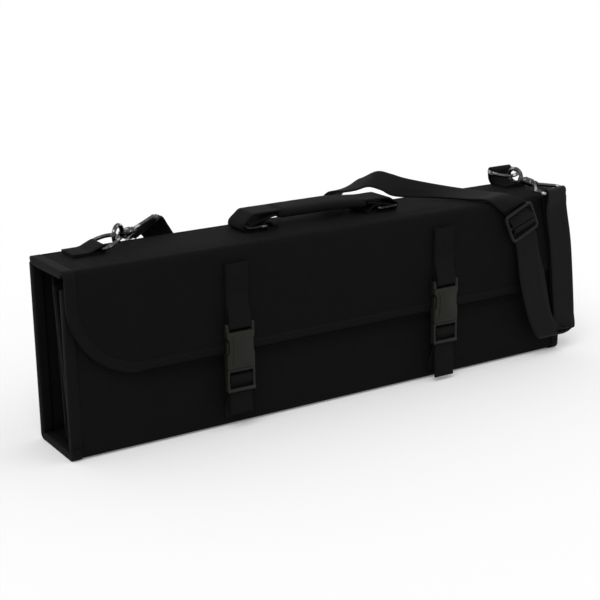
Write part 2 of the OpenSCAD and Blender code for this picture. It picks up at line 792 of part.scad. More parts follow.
// The swivelling eye: a headed post and a flat loop whose far bar takes the strap along Z
module hook_eye() {
  back = hook_l - 9;
  translate([jaw_r + 7.2, 0, 0]) rotate([0, 90, 0]) cylinder(h = 3.8, r = 2.2, $fn = 24);
  translate([jaw_r + 8, 0, 0]) rotate([0, 90, 0]) cylinder(h = 9, r = 1.2, $fn = 24);
  translate([jaw_r + 14.4, 0, 0]) rotate([0, 90, 0]) cylinder(h = 4.2, r = 3, $fn = 24);
  wire_outline(eased([[jaw_r + 17, -1.6], [back, -eye_half], [hook_l, -eye_half],
    [hook_l, eye_half], [back, eye_half], [jaw_r + 17, 1.6]], 1.4, 3), ring_wire, 12);
}

module at_left(roll) {
  aim(jaw_l, eye_l, roll) children();
}

module at_right(roll) {
  aim(jaw_rt, eye_r, roll) children();
}

module hook_jaw_left() {
  color(chrome) at_left(0) hook_jaw();
}

module hook_jaw_right() {
  color(chrome) at_right(0) hook_jaw();
}

module hook_gate_left() {
  color(chrome) at_left(0) hook_gate();
}

module hook_gate_right() {
  color(chrome) at_right(0) hook_gate();
}

module gate_pin_left() {
  color(chrome) at_left(0) gate_pin();
}

module gate_pin_right() {
  color(chrome) at_right(0) gate_pin();
}

module hook_eye_left() {
  color(chrome) at_left(eye_l_roll) hook_eye();
}

module hook_eye_right() {
  color(chrome) at_right(90) hook_eye();
}

// Shoulder strap

// The sewn end of the strap round the left eye's bar
module strap_end_left() {
  r = ring_wire + strap_t / 2 + 0.05;
  color(webbing) at_left(eye_l_roll) translate([hook_l, 0, 0]) linear_extrude(strap_w, center = true)
    band(concat([[9, 0.85], [7, 0.85], [4, 1.6]],
      [for (a = [70 : 20 : 290]) r * [cos(a), sin(a)]],
      [[4, -1.6], [7, -0.85], [9, -0.85]]), strap_t);
}

crease_z = case_h * 0.27;
lie_near = back_out + strap_t / 2 + 0.15;
lie_far = lie_near + strap_t + 3.4;
back_side = [strap_w * 0.6, 0, 0];
rest_x = eye_l[0] + 30;
edge_x = foot_x - 42;
crease_x = rest_x + 0.42 * (edge_x - rest_x);
drape = strap_w / 25;
slider_at = [half_l - drape * 58, flap_out - drape * 6, case_h - drape * 19];
slide_lean = 20;
hang_x = (eye_r[0] + half_l - drape * 15) / 2;

// A point level with the slide's plane at a depth and a height along it
function at_slide(y, h) = slider_at + drape * [-h * sin(slide_lean), y, h * cos(slide_lean)];

// The strap behind the case: down from the left hook, folded over, and up again
module strap_back() {
  start = eye_l + aim_l * 10.2;
  color(webbing) strap([
    [start, bar_l * strap_w / 2],
    [start + drape * [3.4, 1.6, -2], [7, -6, 7.6]],
    [start + drape * [7, 1.6, -8], [9, -4, 5.5]],
    [start + drape * [12, -3, -18], [12, -1.5, 2]],
    [[rest_x, lie_near + 4, case_h - 30], back_side],
    [[(rest_x * 3 + crease_x) / 4, lie_near + 1, (crease_z + 3 * (case_h - 30)) / 4], back_side],
    [[(rest_x + crease_x) / 2, lie_near + 0.1, (crease_z + case_h - 30) / 2], back_side],
    [[crease_x - drape * 4, lie_near + 0.1, crease_z + 5], back_side],
    [[crease_x - drape * 0.6, lie_near + 1, crease_z + 1], back_side],
    [[crease_x + drape * 0.6, (lie_near + lie_far) / 2, crease_z], back_side],
    [[crease_x + drape * 2, lie_far - 1, crease_z + 1], back_side],
    [[crease_x + drape * 5, lie_far, crease_z + 5], back_side],
    [[(edge_x + crease_x) / 2 + 2, lie_far + 0.4, (crease_z + case_h) / 2], back_side],
    [[edge_x, lie_far + 1.6, case_h - 2], [strap_w * 0.54, 1, 1]]], 4);
}

// The strap over the lid: up past its back edge, across, and down to the slide
module strap_top() {
  tip = slider_at;
  color(webbing) strap([
    [[edge_x + drape * 0.7, lie_far + 1.7, case_h - 1], [strap_w * 0.53, 1, 1.2]],
    [[edge_x + drape * 3, lie_far + 1.8, case_h + 3], [strap_w * 0.52, 1.5, 2.4]],
    [[edge_x + drape * 13, lie_far - 1.6, case_h + 12], [strap_w * 0.38, 4.8, 6.7]],
    [[edge_x + drape * 32, half_d - 5, case_h + 21], [strap_w * 0.41, 4.2, 5.7]],
    [[edge_x + drape * 58, half_d - 19, case_h + 14], [strap_w * 0.42, 3.6, 4.6]],
    [[tip[0] - drape * 54, -2, case_h + 7], [strap_w * 0.46, 3.6, 2.6]],
    [[tip[0] - drape * 31, 11 - half_d, case_h + 4.2], [strap_w * 0.48, 1.3, 1.6]],
    [[tip[0] - drape * 21, -half_d - 1, case_h + 3.6], [strap_w * 0.48, 0.5, 1.2]],
    [[tip[0] - drape * 11, -half_d - 9, case_h - 3], [strap_w * 0.47, -1.6, 3.6]],
    [at_slide(3, 13.8), [strap_w * 0.47, 0, 4.2]],
    [at_slide(2.6, 10), [strap_w * 0.47, 0, 4.2]],
    [at_slide(0, 6.3), [strap_w * 0.47, 0, 4.2]],
    [at_slide(-2.7, 2.6), [strap_w * 0.47, 0, 4.2]],
    [at_slide(-2.8, 0.5), [strap_w * 0.47, 0, 4.2]]], 5);
}

// Slide with a middle bar that sets the strap's length
module slider() {
  half = strap_w / 2 + 2;
  color(moulding) translate(slider_at) rotate([0, -slide_lean, 0]) rotate([90, 0, 0]) {
    wire_loop(half, 12, 3, 1.5);
    translate([-half, 0, 0]) rotate([0, 90, 0]) cylinder(h = 2 * half, r = 1.5, $fn = 20);
  }
}

// The hanging loop: down from the slide, round at the bottom, and up through the right eye
module strap_loop() {
  tip = slider_at;
  low = case_h * 0.1225;
  y = flap_tape_out;
  color(webbing) strap([
    [at_slide(-2.8, -0.5), [strap_w * 0.47, 0, 4.2]],
    [at_slide(-2.7, -2.6), [strap_w * 0.47, 0, 4.2]],
    [at_slide(0, -6.3), [strap_w * 0.47, 0, 4.2]],
    [at_slide(2.6, -10), [strap_w * 0.47, 0, 4.2]],
    [at_slide(2.7, -13.8), [strap_w * 0.47, 0, 4.2]],
    [tip + drape * [8, 1.6, -21], [strap_w * 0.47, 0, 4.1]],
    [[half_l - drape * 38, y - 7, case_h * 0.517], [strap_w * 0.48, 0, 3.6]],
    [[half_l - drape * 26, y - 8, case_h * 0.286], [strap_w * 0.49, 0, 2.4]],
    [[half_l - drape * 18.6, y - 8.6, low + 5], [strap_w * 0.5, 0, 0]],
    [[half_l - drape * 15, y - 7.2, low + 1], [strap_w * 0.5, 0, 0]],
    [[half_l - drape * 11, y - 4.6, low], [strap_w * 0.5, 0, 0]],
    [[half_l - drape * 7, y - 2.2, low + 1], [strap_w * 0.5, 0, 0]],
    [[half_l - drape * 4, y - 1.7, low + 5], [strap_w * 0.5, 0, 0]],
    [[half_l - drape * 6.4, y - 1.4, case_h * 0.34], [strap_w * 0.5, 0, 0.6]],
    [[half_l - drape * 12, y - 1.4, case_h * 0.68], [strap_w * 0.5, 0, 1]],
    [[hang_x, y - 1.5, eye_r[2] - 18], [strap_w * 0.5, 0.4, 1]],
    [eye_r + drape * [0, wrap_r, -4], [strap_w * 0.49, strap_w * 0.08, 0.4]],
    [eye_r + drape * [0, wrap_r, 0], [strap_w * 0.49, strap_w * 0.08, 0]],
    [eye_r + drape * [0, wrap_r * 0.7, wrap_r * 0.7], [strap_w * 0.49, strap_w * 0.08, 0]],
    [eye_r + drape * [0, 0.3, wrap_r], [strap_w * 0.49, strap_w * 0.08, 0]]], 5);
}

// The strap back from the right eye to the slide's middle bar, inside the hanging loop
module strap_return() {
  tip = slider_at;
  low = case_h * 0.15;
  y = flap_tape_out;
  color(webbing) strap([
    [eye_r + drape * [0, -0.3, wrap_r], [strap_w * 0.49, strap_w * 0.08, 0]],
    [eye_r + drape * [0, -wrap_r * 0.7, wrap_r * 0.7], [strap_w * 0.49, strap_w * 0.08, 0]],
    [eye_r + drape * [0, -wrap_r, 0], [strap_w * 0.49, strap_w * 0.08, 0]],
    [eye_r + drape * [0, -wrap_r, -4], [strap_w * 0.49, strap_w * 0.08, 0.4]],
    [[hang_x, y - 4.6, eye_r[2] - 18], [strap_w * 0.5, 0.4, 1]],
    [[half_l - drape * 12, y - 3.6, case_h * 0.68], [strap_w * 0.5, 0, 1]],
    [[half_l - drape * 6.4, y - 3.4, case_h * 0.34], [strap_w * 0.5, 0, 0.6]],
    [[half_l - drape * 5, y - 3.5, low + 5], [strap_w * 0.5, 0, 0]],
    [[half_l - drape * 8, y - 3.9, low + 0.8], [strap_w * 0.5, 0, 0]],
    [[half_l - drape * 11, y - 4.8, low], [strap_w * 0.5, 0, 0]],
    [[half_l - drape * 14, y - 5.8, low + 0.8], [strap_w * 0.5, 0, 0]],
    [[half_l - drape * 17.6, y - 6.5, low + 5], [strap_w * 0.5, 0, 0]],
    [[half_l - drape * 23, y - 6, case_h * 0.286], [strap_w * 0.49, 0, 2.4]],
    [[half_l - drape * 33, y - 5, case_h * 0.517], [strap_w * 0.48, 0, 3.6]],
    [tip + drape * [8, 4, -21], [strap_w * 0.47, 0, 4.1]],
    [at_slide(4.9, -13.8), [strap_w * 0.47, 0, 4.2]],
    [at_slide(4.7, -10), [strap_w * 0.47, 0, 4.2]],
    [at_slide(3.4, -5), [strap_w * 0.47, 0, 4.2]],
    [at_slide(2.8, 0), [strap_w * 0.47, 0, 4.2]]], 5);
}

bottom_spine();
bottom_board();
back_panel();
back_board();
front_panel();
front_board();
back_binding();
front_binding();
knife_leaf();
leaf_binding();
leaf_pocket();
leaf_elastic();
divider();
back_pocket();
back_elastic();
lower_strap_left();
lower_strap_right();
top_spine();
top_board();
lid_fold();
flap_fold();
flap();
flap_board();
flap_binding();
upper_strap_left();
upper_strap_right();
socket_left();
socket_right();
plug_left();
plug_right();
plug_arms_left();
plug_arms_right();
handle_chapes();
handle_loops();
handle_webbing();
handle_grip();
chape_left();
chape_right();
d_ring_left();
d_ring_right();
hook_jaw_left();
hook_jaw_right();
hook_gate_left();
hook_gate_right();
gate_pin_left();
gate_pin_right();
hook_eye_left();
hook_eye_right();
strap_end_left();
strap_back();
strap_top();
slider();
strap_loop();
strap_return();
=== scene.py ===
"""Visible pieces of a folding, fabric-covered knife case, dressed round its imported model."""

import math

import bmesh
import bpy
from mathutils import Matrix, Vector, noise


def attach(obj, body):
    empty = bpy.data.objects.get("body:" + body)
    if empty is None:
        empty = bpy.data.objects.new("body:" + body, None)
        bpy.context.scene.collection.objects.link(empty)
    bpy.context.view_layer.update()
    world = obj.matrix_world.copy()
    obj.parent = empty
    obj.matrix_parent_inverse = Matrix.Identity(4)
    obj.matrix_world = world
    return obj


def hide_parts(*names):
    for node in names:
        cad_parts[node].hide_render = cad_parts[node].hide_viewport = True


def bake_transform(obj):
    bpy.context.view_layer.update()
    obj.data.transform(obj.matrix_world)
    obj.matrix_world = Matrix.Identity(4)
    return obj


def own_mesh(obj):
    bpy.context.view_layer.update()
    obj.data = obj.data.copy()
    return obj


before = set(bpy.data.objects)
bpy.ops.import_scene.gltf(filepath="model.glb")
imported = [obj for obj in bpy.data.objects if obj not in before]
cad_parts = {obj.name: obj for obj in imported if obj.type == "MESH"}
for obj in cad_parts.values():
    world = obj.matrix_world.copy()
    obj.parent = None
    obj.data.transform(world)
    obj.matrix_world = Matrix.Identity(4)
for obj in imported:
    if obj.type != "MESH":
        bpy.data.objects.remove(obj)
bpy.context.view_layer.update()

bl_info = {
    "name": "Knife case",
    "version": (1, 0, 0),
    "blender": (4, 5, 0),
    "location": "View3D > Sidebar > Knife case",
    "description": "Builds the cloth, webbing, buckles and metal of a folding knife case",
    "category": "Object",
}

MM = 0.001

# Sizes of the case in millimetres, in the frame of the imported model
HALF_L = 240.0
HALF_D = 31.0
CASE_H = 147.0
PANEL = 5.0
FRONT_H = 132.0
FACE = 30.2
INNER_TOP = 142.0
TAPE_W = 8.0
TAPE_T = 0.8
FLAP_T = 2.6
FLAP_OUT = -34.8
FLAP_TAPE_OUT = -35.6
FLAP_LOW = 61.0
FLAP_R = 62.0
FLAP_HALF = HALF_L - TAPE_T
FLAP_TOP = 141.0
FOLD_R = 5.0
BACK_R = 3.6
CORNER_R = 4.5
FRONT_RUN = FRONT_H - CORNER_R - TAPE_T
WEB_W = 20.0
WEB_T = 1.6
BUCKLE_X = 100.0
BUCKLE_Y = -39.35
RIGHT_RISE = 2.2
BAR_R = 1.5
BAR_Z = 85.4
RAIL_Z = 33.2
PLUG_BAR_Z = 42.5
HANDLE_Y = 6.0
FOOT_X = 72.0
HANDLE_W = 25.0
LOOP_Z = 151.0
GRIP_Z = 159.0
LOOP_W = 18.0
LOOP_WIRE = 1.5
STRAP_W = 25.0
STRAP_T = 1.6
RING_WIRE = 1.6
HOOK_ROD = 1.7
JAW_R = 7.2
HOOK_L = 46.0
RING_R = STRAP_W / 2 + 1
RING_LEG = 4.0
EYE_HALF = STRAP_W / 2 + RING_WIRE + 0.5
WRAP_R = RING_WIRE + STRAP_T / 2 + 0.35
SLIDE_LEAN = 24
SLIDE_BAR = 1.5
LEAF_Y, LEAF_H, LEAF_LEAN, LEAF_T, LEAF_INSET = -14.2, 124, 8, 4, 8
LEAF_BASE = (0, -14.598, 5.307)
DIVIDER_Y, DIVIDER_H, DIVIDER_LEAN, DIVIDER_T, DIVIDER_INSET = 0.8, 128, 3.5, 2.4, 10
CASE_SEAM = 7.2
FLAP_SEAM = 6.6

# Angles in degrees past which an edge stays sharp
WEB_SHARP = 60
METAL_SHARP = 40
MOULD_SHARP = 32


def vec(*c):
    return Vector(c)


# Ends of the rings and hooks
RING_L = vec(-192, 12, 150.55)
BOW_L = vec(-175.437, 12, 156.2)
JAW_L = vec(-173.722, 13.363, 156.402)
EYE_L = vec(-137.858, 41.871, 152.264)
AIM_L = (EYE_L - JAW_L).normalized()
BAR_L = vec(0.48, -0.6, 0.64).normalized()
EYE_L_ROLL = 50
RING_RT = vec(212, 25, 160)
BOW_R = vec(212, 7.725, 157.2)
JAW_RT = vec(212.456, 4.791, 156.776)
EYE_R = vec(219.456, -40.207, 150.276)
SLIDER_AT = vec(182, -40.8, 128)


class CaseColours(bpy.types.PropertyGroup):
    """Colours of the case's cloth, plastic and metal."""

    def tint(name, description, *default):
        return bpy.props.FloatVectorProperty(
            name=name, description=description, subtype="COLOR", size=3, min=0, max=1, default=default)

    cover: tint("Cover", "Woven nylon of the outside", 0.0048, 0.0048, 0.0051)
    lining: tint("Lining", "Smooth nylon of the inner leaves", 0.0065, 0.0065, 0.0069)
    tape: tint("Tape", "Ribbed tape round the edges", 0.0036, 0.0036, 0.0039)
    webbing: tint("Webbing", "Straps of the buckles and the handle", 0.0040, 0.0040, 0.0043)
    strap: tint("Shoulder strap", "Slightly shiny webbing of the shoulder strap", 0.0026, 0.0026, 0.0028)
    thread: tint("Thread", "Sewing thread", 0.005, 0.005, 0.0055)
    buckle: tint("Buckles", "Moulded buckles", 0.0105, 0.0105, 0.0080)
    slide: tint("Slide", "Moulded slide on the shoulder strap", 0.0105, 0.0105, 0.0105)
    metal: tint("Metal", "Plated rings and hooks", 0.40, 0.40, 0.41)
    card: tint("Board", "Stiff board inside a panel", 0.30, 0.27, 0.23)
    floor: tint("Floor", "Pale floor under the case", 0.93, 0.93, 0.93)


class CaseSizes(bpy.types.PropertyGroup):
    """Sizes of the case's cloth and sewing."""

    def length(name, description, default, least=0.0):
        return bpy.props.FloatProperty(
            name=name, description=description, default=default, min=least, unit="LENGTH")

    weave: length("Weave", "Distance between the cover's threads", 0.0008, 0.0002)
    rib: length("Rib", "Distance between the ribs of the webbing", 0.0016, 0.0003)
    stitch: length("Stitch", "Length of one stitch", 0.0026, 0.0005)
    thread: length("Thread", "Thickness of the sewing thread", 0.0005, 0.0001)
    crease: length("Crease", "Depth of the cover's soft creases", 0.0009)
    puff: length("Puff", "How far the cloth stands over a board", 0.0006)


# Finishes


class Wire:
    """A socket of a node tree; sums, products and comparisons on it add Math nodes."""

    def __init__(self, nodes, socket):
        self.nodes = nodes
        self.socket = socket

    def math(self, operation, *others):
        return self.nodes.math(operation, self, *others)

    def beside(self, output):
        """Another output of the same node."""
        return Wire(self.nodes, self.socket.node.outputs[output])

    def __add__(self, other):
        return self.math("ADD", other)

    def __mul__(self, other):
        return self.math("MULTIPLY", other)

    __radd__, __rmul__ = __add__, __mul__

    def __sub__(self, other):
        return self.math("SUBTRACT", other)

    def __rsub__(self, other):
        return self.nodes.math("SUBTRACT", other, self)

    def __truediv__(self, other):
        return self.math("DIVIDE", other)

    def __mod__(self, other):
        return self.math("FLOORED_MODULO", other)

    def __gt__(self, other):
        return self.math("GREATER_THAN", other)

    def __abs__(self):
        return self.math("ABSOLUTE")

    def floor(self):
        return self.math("FLOOR")

    def sine(self):
        return self.math("SINE")


class Nodes:
    """A node tree, filled one node at a time."""

    def __init__(self, tree):
        self.tree = tree
        tree.nodes.clear()

    def feed(self, slot, value):
        if isinstance(value, Wire):
            self.tree.links.new(value.socket, slot)
        else:
            slot.default_value = (*value, 1.0) if slot.type == "RGBA" else value

    def add(self, kind, feeds=(), output=0, **settings):
        """Adds a node, with its settings first and then the values or links of its sockets."""
        node = self.tree.nodes.new(kind)
        for key, value in settings.items():
            setattr(node, key, value)
        for key, value in dict(feeds).items():
            self.feed(node.inputs[key], value)
        return Wire(self, node.outputs[output]) if node.outputs else None

    def math(self, operation, *values):
        return self.add("ShaderNodeMath", enumerate(values), operation=operation)


class Finish(Nodes):
    """The nodes of one material."""

    def __init__(self, name):
        self.material = bpy.data.materials.new(name)
        self.material.use_nodes = True
        super().__init__(self.material.node_tree)

    def blend(self, factor, first, second):
        return self.add("ShaderNodeMix", {0: factor, 6: first, 7: second}, 2, data_type="RGBA")

    def tone(self, factor, colour, dark, light):
        """A colour between its darker and its lighter shade."""
        return self.blend(factor, shade(colour, dark), shade(colour, light))

    def noise(self, place, scale, detail):
        return self.add("ShaderNodeTexNoise", {"Vector": place, "Scale": scale, "Detail": detail})

    def object_place(self):
        return self.add("ShaderNodeTexCoord", output="Object")

    def cloth_place(self):
        """The place on the cloth, with U across and V along it, in metres."""
        uv = self.add("ShaderNodeTexCoord", output="UV")
        u = self.add("ShaderNodeSeparateXYZ", {0: uv})
        return uv, u, u.beside(1)

    def bump(self, height, distance, strength=1.0):
        return self.add("ShaderNodeBump", {"Height": height, "Distance": distance, "Strength": strength})

    def close(self, colour, roughness, normal=None, metallic=0.0, specular=0.5, glow=None):
        feeds = {"Base Color": colour, "Roughness": roughness, "Metallic": metallic,
                 "Specular IOR Level": specular}
        if normal is not None:
            feeds["Normal"] = normal
        if glow is not None:
            feeds.update({"Emission Color": glow, "Emission Strength": 1.0})
        self.add("ShaderNodeOutputMaterial", {"Surface": self.add("ShaderNodeBsdfPrincipled", feeds)})
        return self.material


def shade(colour, factor):
    return tuple(min(1.0, c * factor) for c in colour)


def threads(place, pitch):
    """Rounded threads side by side, one for each pitch."""
    return abs((place * (math.pi / pitch)).sine())


def woven_cloth(name, colour, pitch, depth, roughness, specular):
    """Plain weave whose warp and weft pass over and under each other, with a faint worn mottle."""
    f = Finish(name)
    uv, u, v = f.cloth_place()
    a, b = u / pitch, v / pitch
    over = (a.floor() + b.floor()) % 2.0
    height = over * abs((a * math.pi).sine()) + (1.0 - over) * abs((b * math.pi).sine())
    mottle = f.noise(uv, 45.0, 4.0)
    slub = f.noise(uv, 900.0, 1.0)
    tone = f.tone(mottle * 0.6 + height * 0.4, colour, 0.72, 1.34)
    rough = roughness - height * 0.08 + mottle * 0.06
    return f.close(tone, rough, f.bump(height + slub * 0.35, depth), specular=specular)


def strap_webbing(name, colour, pitch, width, depth, roughness, specular):
    """Webbing with a woven edge and herringbone ribs that meet at its middle."""
    f = Finish(name)
    uv, u, v = f.cloth_place()
    across = abs(u / width)
    chevron = (v / pitch + across * (width / pitch) * 0.8) * (2 * math.pi)
    ribs = chevron.sine() * 0.5 + 0.5
    edge = across > 0.44
    height = (1.0 - edge) * (ribs * 0.7 + threads(u, pitch * 0.55) * 0.3) + edge * threads(v, pitch * 0.6)
    wear = f.noise(uv, 60.0, 3.0)
    tone = f.tone(height * 0.45 + wear * 0.5, colour, 0.66, 1.42)
    rough = roughness - height * 0.1 + wear * 0.08
    return f.close(tone, rough, f.bump(height, depth), specular=specular)


def ribbed_tape(name, colour, pitch, depth, roughness, specular):
    """Grosgrain tape whose ribs run across it."""
    f = Finish(name)
    uv, _, v = f.cloth_place()
    ribs = threads(v, pitch)
    tone = f.tone(ribs * 0.5 + f.noise(uv, 80.0, 3.0) * 0.4, colour, 0.66, 1.45)
    return f.close(tone, roughness - ribs * 0.1, f.bump(ribs, depth), specular=specular)


def moulded_plastic(name, colour, roughness, grain, specular):
    """Moulded plastic with a fine grain and faint scuffs."""
    f = Finish(name)
    place = f.object_place()
    fine = f.noise(place, 2600.0, 2.0)
    scuff = f.noise(place, 160.0, 5.0)
    rough = roughness + scuff * 0.12 - 0.06 + fine * 0.04
    return f.close(f.tone(scuff, colour, 0.82, 1.2), rough, f.bump(fine, grain, 0.6), specular=specular)


def plated_metal(name, colour):
    """Plated wire whose colour holds painted reflections: noise patches painted bright as glints, and dark in between
    as a painted reflection of dark surroundings.
    """
    f = Finish(name)
    place = f.object_place()
    reflection_noise = f.noise(place, 150.0, 3.0)
    fine = f.noise(place, 3000.0, 2.0)
    painted_reflection = f.add("ShaderNodeMapRange", {0: reflection_noise, 1: 0.54, 2: 0.68, 3: 0.0, 4: 1.0}, clamp=True)
    # Painted reflection: bright glints and dark patches put into the metal's base colour, glossier where it is
    # painted bright
    tone = f.tone(painted_reflection, colour, 0.14, 1.3)
    return f.close(tone, 0.3 - painted_reflection * 0.2, f.bump(fine, 0.00002, 0.4), metallic=1.0)


def stiff_board(name, colour):
    f = Finish(name)
    pulp = f.noise(f.object_place(), 300.0, 5.0)
    return f.close(f.tone(pulp, colour, 0.85, 1.1), 0.8 + pulp * 0.1, f.bump(pulp, 0.0001, 0.5))


def sewing_thread(name, colour):
    f = Finish(name)
    twist = f.noise(f.object_place(), 1500.0, 1.0)
    return f.close(f.tone(twist, colour, 0.75, 1.25), 0.6 + twist * 0.1, specular=0.08)


FINISHES = {}


def finish(key):
    """The material of that key, made once from the settings."""
    if key not in FINISHES:
        c, sizes = bpy.context.scene.case_colours, bpy.context.scene.case_sizes
        weave, rib = sizes.weave, sizes.rib
        maker, *values = {
            "cover": (woven_cloth, "Cover weave", c.cover, weave, 0.00028, 0.86, 0.06),
            "lining": (woven_cloth, "Lining weave", c.lining, weave * 0.6, 0.00015, 0.75, 0.08),
            "pocket": (woven_cloth, "Pocket weave", c.lining, weave, 0.00025, 0.8, 0.07),
            "grip": (woven_cloth, "Grip weave", c.cover, weave, 0.00028, 0.82, 0.08),
            "tape": (ribbed_tape, "Edge tape", c.tape, 0.0009, 0.0002, 0.78, 0.07),
            "elastic": (ribbed_tape, "Elastic band", c.tape, 0.0014, 0.00025, 0.7, 0.08),
            "webbing": (strap_webbing, "Webbing", c.webbing, rib, WEB_W * MM, 0.0003, 0.78, 0.07),
            "strap": (strap_webbing, "Strap webbing", c.strap, rib, STRAP_W * MM, 0.0003, 0.55, 0.08),
            "buckle": (moulded_plastic, "Buckle plastic", c.buckle, 0.42, 0.00002, 0.16),
            "slide": (moulded_plastic, "Slide plastic", c.slide, 0.42, 0.00002, 0.12),
            "metal": (plated_metal, "Plated metal", c.metal),
            "dull metal": (plated_metal, "Dulled metal", shade(c.metal, 0.25)),
            "board": (stiff_board, "Stiff board", c.card),
            "thread": (sewing_thread, "Sewing thread", c.thread),
        }[key]
        FINISHES[key] = maker(*values)
    return FINISHES[key]


# Mesh making, in millimetres


class Skin:
    """Points and faces of one piece, with a place on the cloth for each face corner."""

    def __init__(self):
        self.points = []
        self.faces = []
        self.places = []

    def rings(self, rows, places, closed=False):
        """Joins rows of points, each closed round, into a skin with both its ends filled.

        Each row of places has one more entry than its row of points. Where closed is set, the last row
        joins the first instead, and there is one more row of places.
        """
        first, count, total = len(self.points), len(rows[0]), len(rows)

        def at(i, j):
            return first + i % total * count + j % count

        for row in rows:
            self.points.extend(row)
        for i in range(total if closed else total - 1):
            for j in range(count):
                corners = ((i, j), (i, j + 1), (i + 1, j + 1), (i + 1, j))
                self.faces.append([at(*corner) for corner in corners])
                self.places.append([places[a][b] for a, b in corners])
        if not closed:
            for i, order in ((0, range(count - 1, -1, -1)), (total - 1, range(count))):
                self.faces.append([at(i, j) for j in order])
                self.places.append([places[i][j] for j in order])
        return self

    def moved(self, matrix):
        self.points = [matrix @ Vector(p) for p in self.points]
        return self

    def join(self, other):
        first = len(self.points)
        self.points.extend(other.points)
        self.faces.extend([[first + i for i in face] for face in other.faces])
        self.places.extend(other.places)
        return self

    def piece(self, name, finish_key, slot, sharp=None, bevel=0.0):
        """The finished object, at the origin, with its points in metres."""
        mesh = bpy.data.meshes.new(name)
        mesh.from_pydata([tuple(Vector(p) * MM) for p in self.points], [], self.faces)
        layer = mesh.uv_layers.new(name="Cloth")
        layer.data.foreach_set("uv", [c * MM for corners in self.places for corner in corners for c in corner])
        work = bmesh.new()
        work.from_mesh(mesh)
        bmesh.ops.remove_doubles(work, verts=work.verts, dist=1e-7)
        bmesh.ops.recalc_face_normals(work, faces=work.faces)
        work.to_mesh(mesh)
        work.free()
        mesh.validate()
        return dress(new_object(name, mesh), finish_key, sharp, bevel)


def closed_rows(rows):
    """A skin from rows of points, each closed round and each point with its place on the cloth."""
    return Skin().rings([[point for point, place in row] for row in rows],
                        [[place for point, place in row + row[:1]] for row in rows])


def new_object(name, data):
    obj = bpy.data.objects.new(name, data)
    bpy.context.scene.collection.objects.link(obj)
    return obj


def dress(obj, finish_key, sharp, bevel):
    """Breaks an object's edges, and gives it its shading and material."""
    if bevel:
        cut = obj.modifiers.new("Edges", "BEVEL")
        cut.width = bevel * MM
        cut.segments = 2
        cut.limit_method = "ANGLE"
        cut.angle_limit = math.radians(40)
        settle(obj)
    obj.data.shade_smooth()
    if sharp is not None:
        obj.data.set_sharp_from_angle(angle=math.radians(sharp))
    obj.data.materials.clear()
    obj.data.materials.append(finish(finish_key))
    return obj


def fixed(obj, body, *nodes):
    """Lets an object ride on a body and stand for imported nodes."""
    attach(obj, body)
    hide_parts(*nodes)
    return obj


def settle(obj):
    """Turns an object's modifiers into plain mesh."""
    bpy.context.view_layer.update()
    shape = obj.evaluated_get(bpy.context.evaluated_depsgraph_get())
    mesh = bpy.data.meshes.new_from_object(shape)
    obj.modifiers.clear()
    old = obj.data
    obj.data = mesh
    mesh.name = obj.name
    bpy.data.meshes.remove(old)


def smooth(t):
    t = max(0.0, min(1.0, t))
    return t * t * (3 - 2 * t)


def spline(keys, steps):
    """A smooth curve through vectors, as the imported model's straps have it."""
    n = len(keys) - 1
    out = []
    for i in range(n):
        a, b, c, d = keys[max(i - 1, 0)], keys[i], keys[min(i + 1, n)], keys[min(i + 2, n)]
        for k in range(steps):
            t = k / steps
            out.append(0.5 * (2 * b + (c - a) * t + (2 * a - 5 * b + 4 * c - d) * t * t
                              + (3 * b - a - 3 * c + d) * t * t * t))
    out.append(keys[-1])
    return out


def on_circle(x, y, r, angles, way=1):
    """Points in two dimensions on a circle, at angles in degrees."""
    return [(x + r * math.cos(math.radians(a)), y + way * r * math.sin(math.radians(a))) for a in angles]


def arc(centre, radius, start, end, count):
    return on_circle(*centre, radius, [start + (end - start) * i / count for i in range(count + 1)])


def straight(a, b, step):
    n = max(1, round(math.dist(a, b) / step))
    return [(a[0] + (b[0] - a[0]) * i / n, a[1] + (b[1] - a[1]) * i / n) for i in range(n)]


def lengths(points):
    out = [0.0]
    for a, b in zip(points, points[1:]):
        out.append(out[-1] + math.dist(tuple(a), tuple(b)))
    return out


def tangents(points, closed=False):
    n = len(points)
    if closed:
        return [(points[(i + 1) % n] - points[i - 1]).normalized() for i in range(n)]
    return [(points[min(i + 1, n - 1)] - points[max(i - 1, 0)]).normalized() for i in range(n)]


def normals_of(line):
    """The way to the left of a line in two dimensions, at each of its points."""
    pairs = zip([line[0], *line], [*line[1:], line[-1]])
    return [Vector((a[1] - b[1], b[0] - a[0])).normalized() for a, b in pairs]


def cloth_noise(x, y, size, seed):
    return noise.noise(Vector((x / size, y / size, seed)))


def slab(outer, side, depth, reach, lift, stations, ease_ends=True):
    """A thick sheet that follows an outline in Y and Z and runs along X.

    outer is the outline, side is 1 or -1 for which way its outer face looks, depth gives the thickness at
    an arc length, reach the half length there, and lift how far the outer face stands out at an arc
    length and x. Its ends thin a little over their last millimetres, as a sewn edge does.
    """
    ease, pinch = 1.6, 0.22
    outline = [(Vector(p), n * side, at) for p, n, at in zip(outer, normals_of(outer), lengths(outer))]
    rows = []
    for f in stations:
        front, back = [], []
        for p, normal, at in outline:
            x = f * reach(at)
            edge = min(1.0, (reach(at) - abs(x)) / ease) if ease_ends else 1.0
            thin = 1.0 - pinch * (1 - edge) ** 2
            q = p + normal * (lift(at, x) - depth(at) * (1 - thin) / 2)
            front.append((vec(x, *q), (x, at)))
            q = p - normal * depth(at) * (1 + thin) / 2
            back.append((vec(x, *q), (x, at)))
        rows.append(front + back[::-1])
    return closed_rows(rows)


def even_stations(length, step):
    """Fractions of the half length, finer near the ends."""
    n = round(2 * length / step)
    inner = [-1 + 2 * i / n for i in range(n + 1)]
    near = [1 - d / length for d in (0.5, 1.4, 3.0)]
    return sorted(set([-f for f in near] + inner + near))


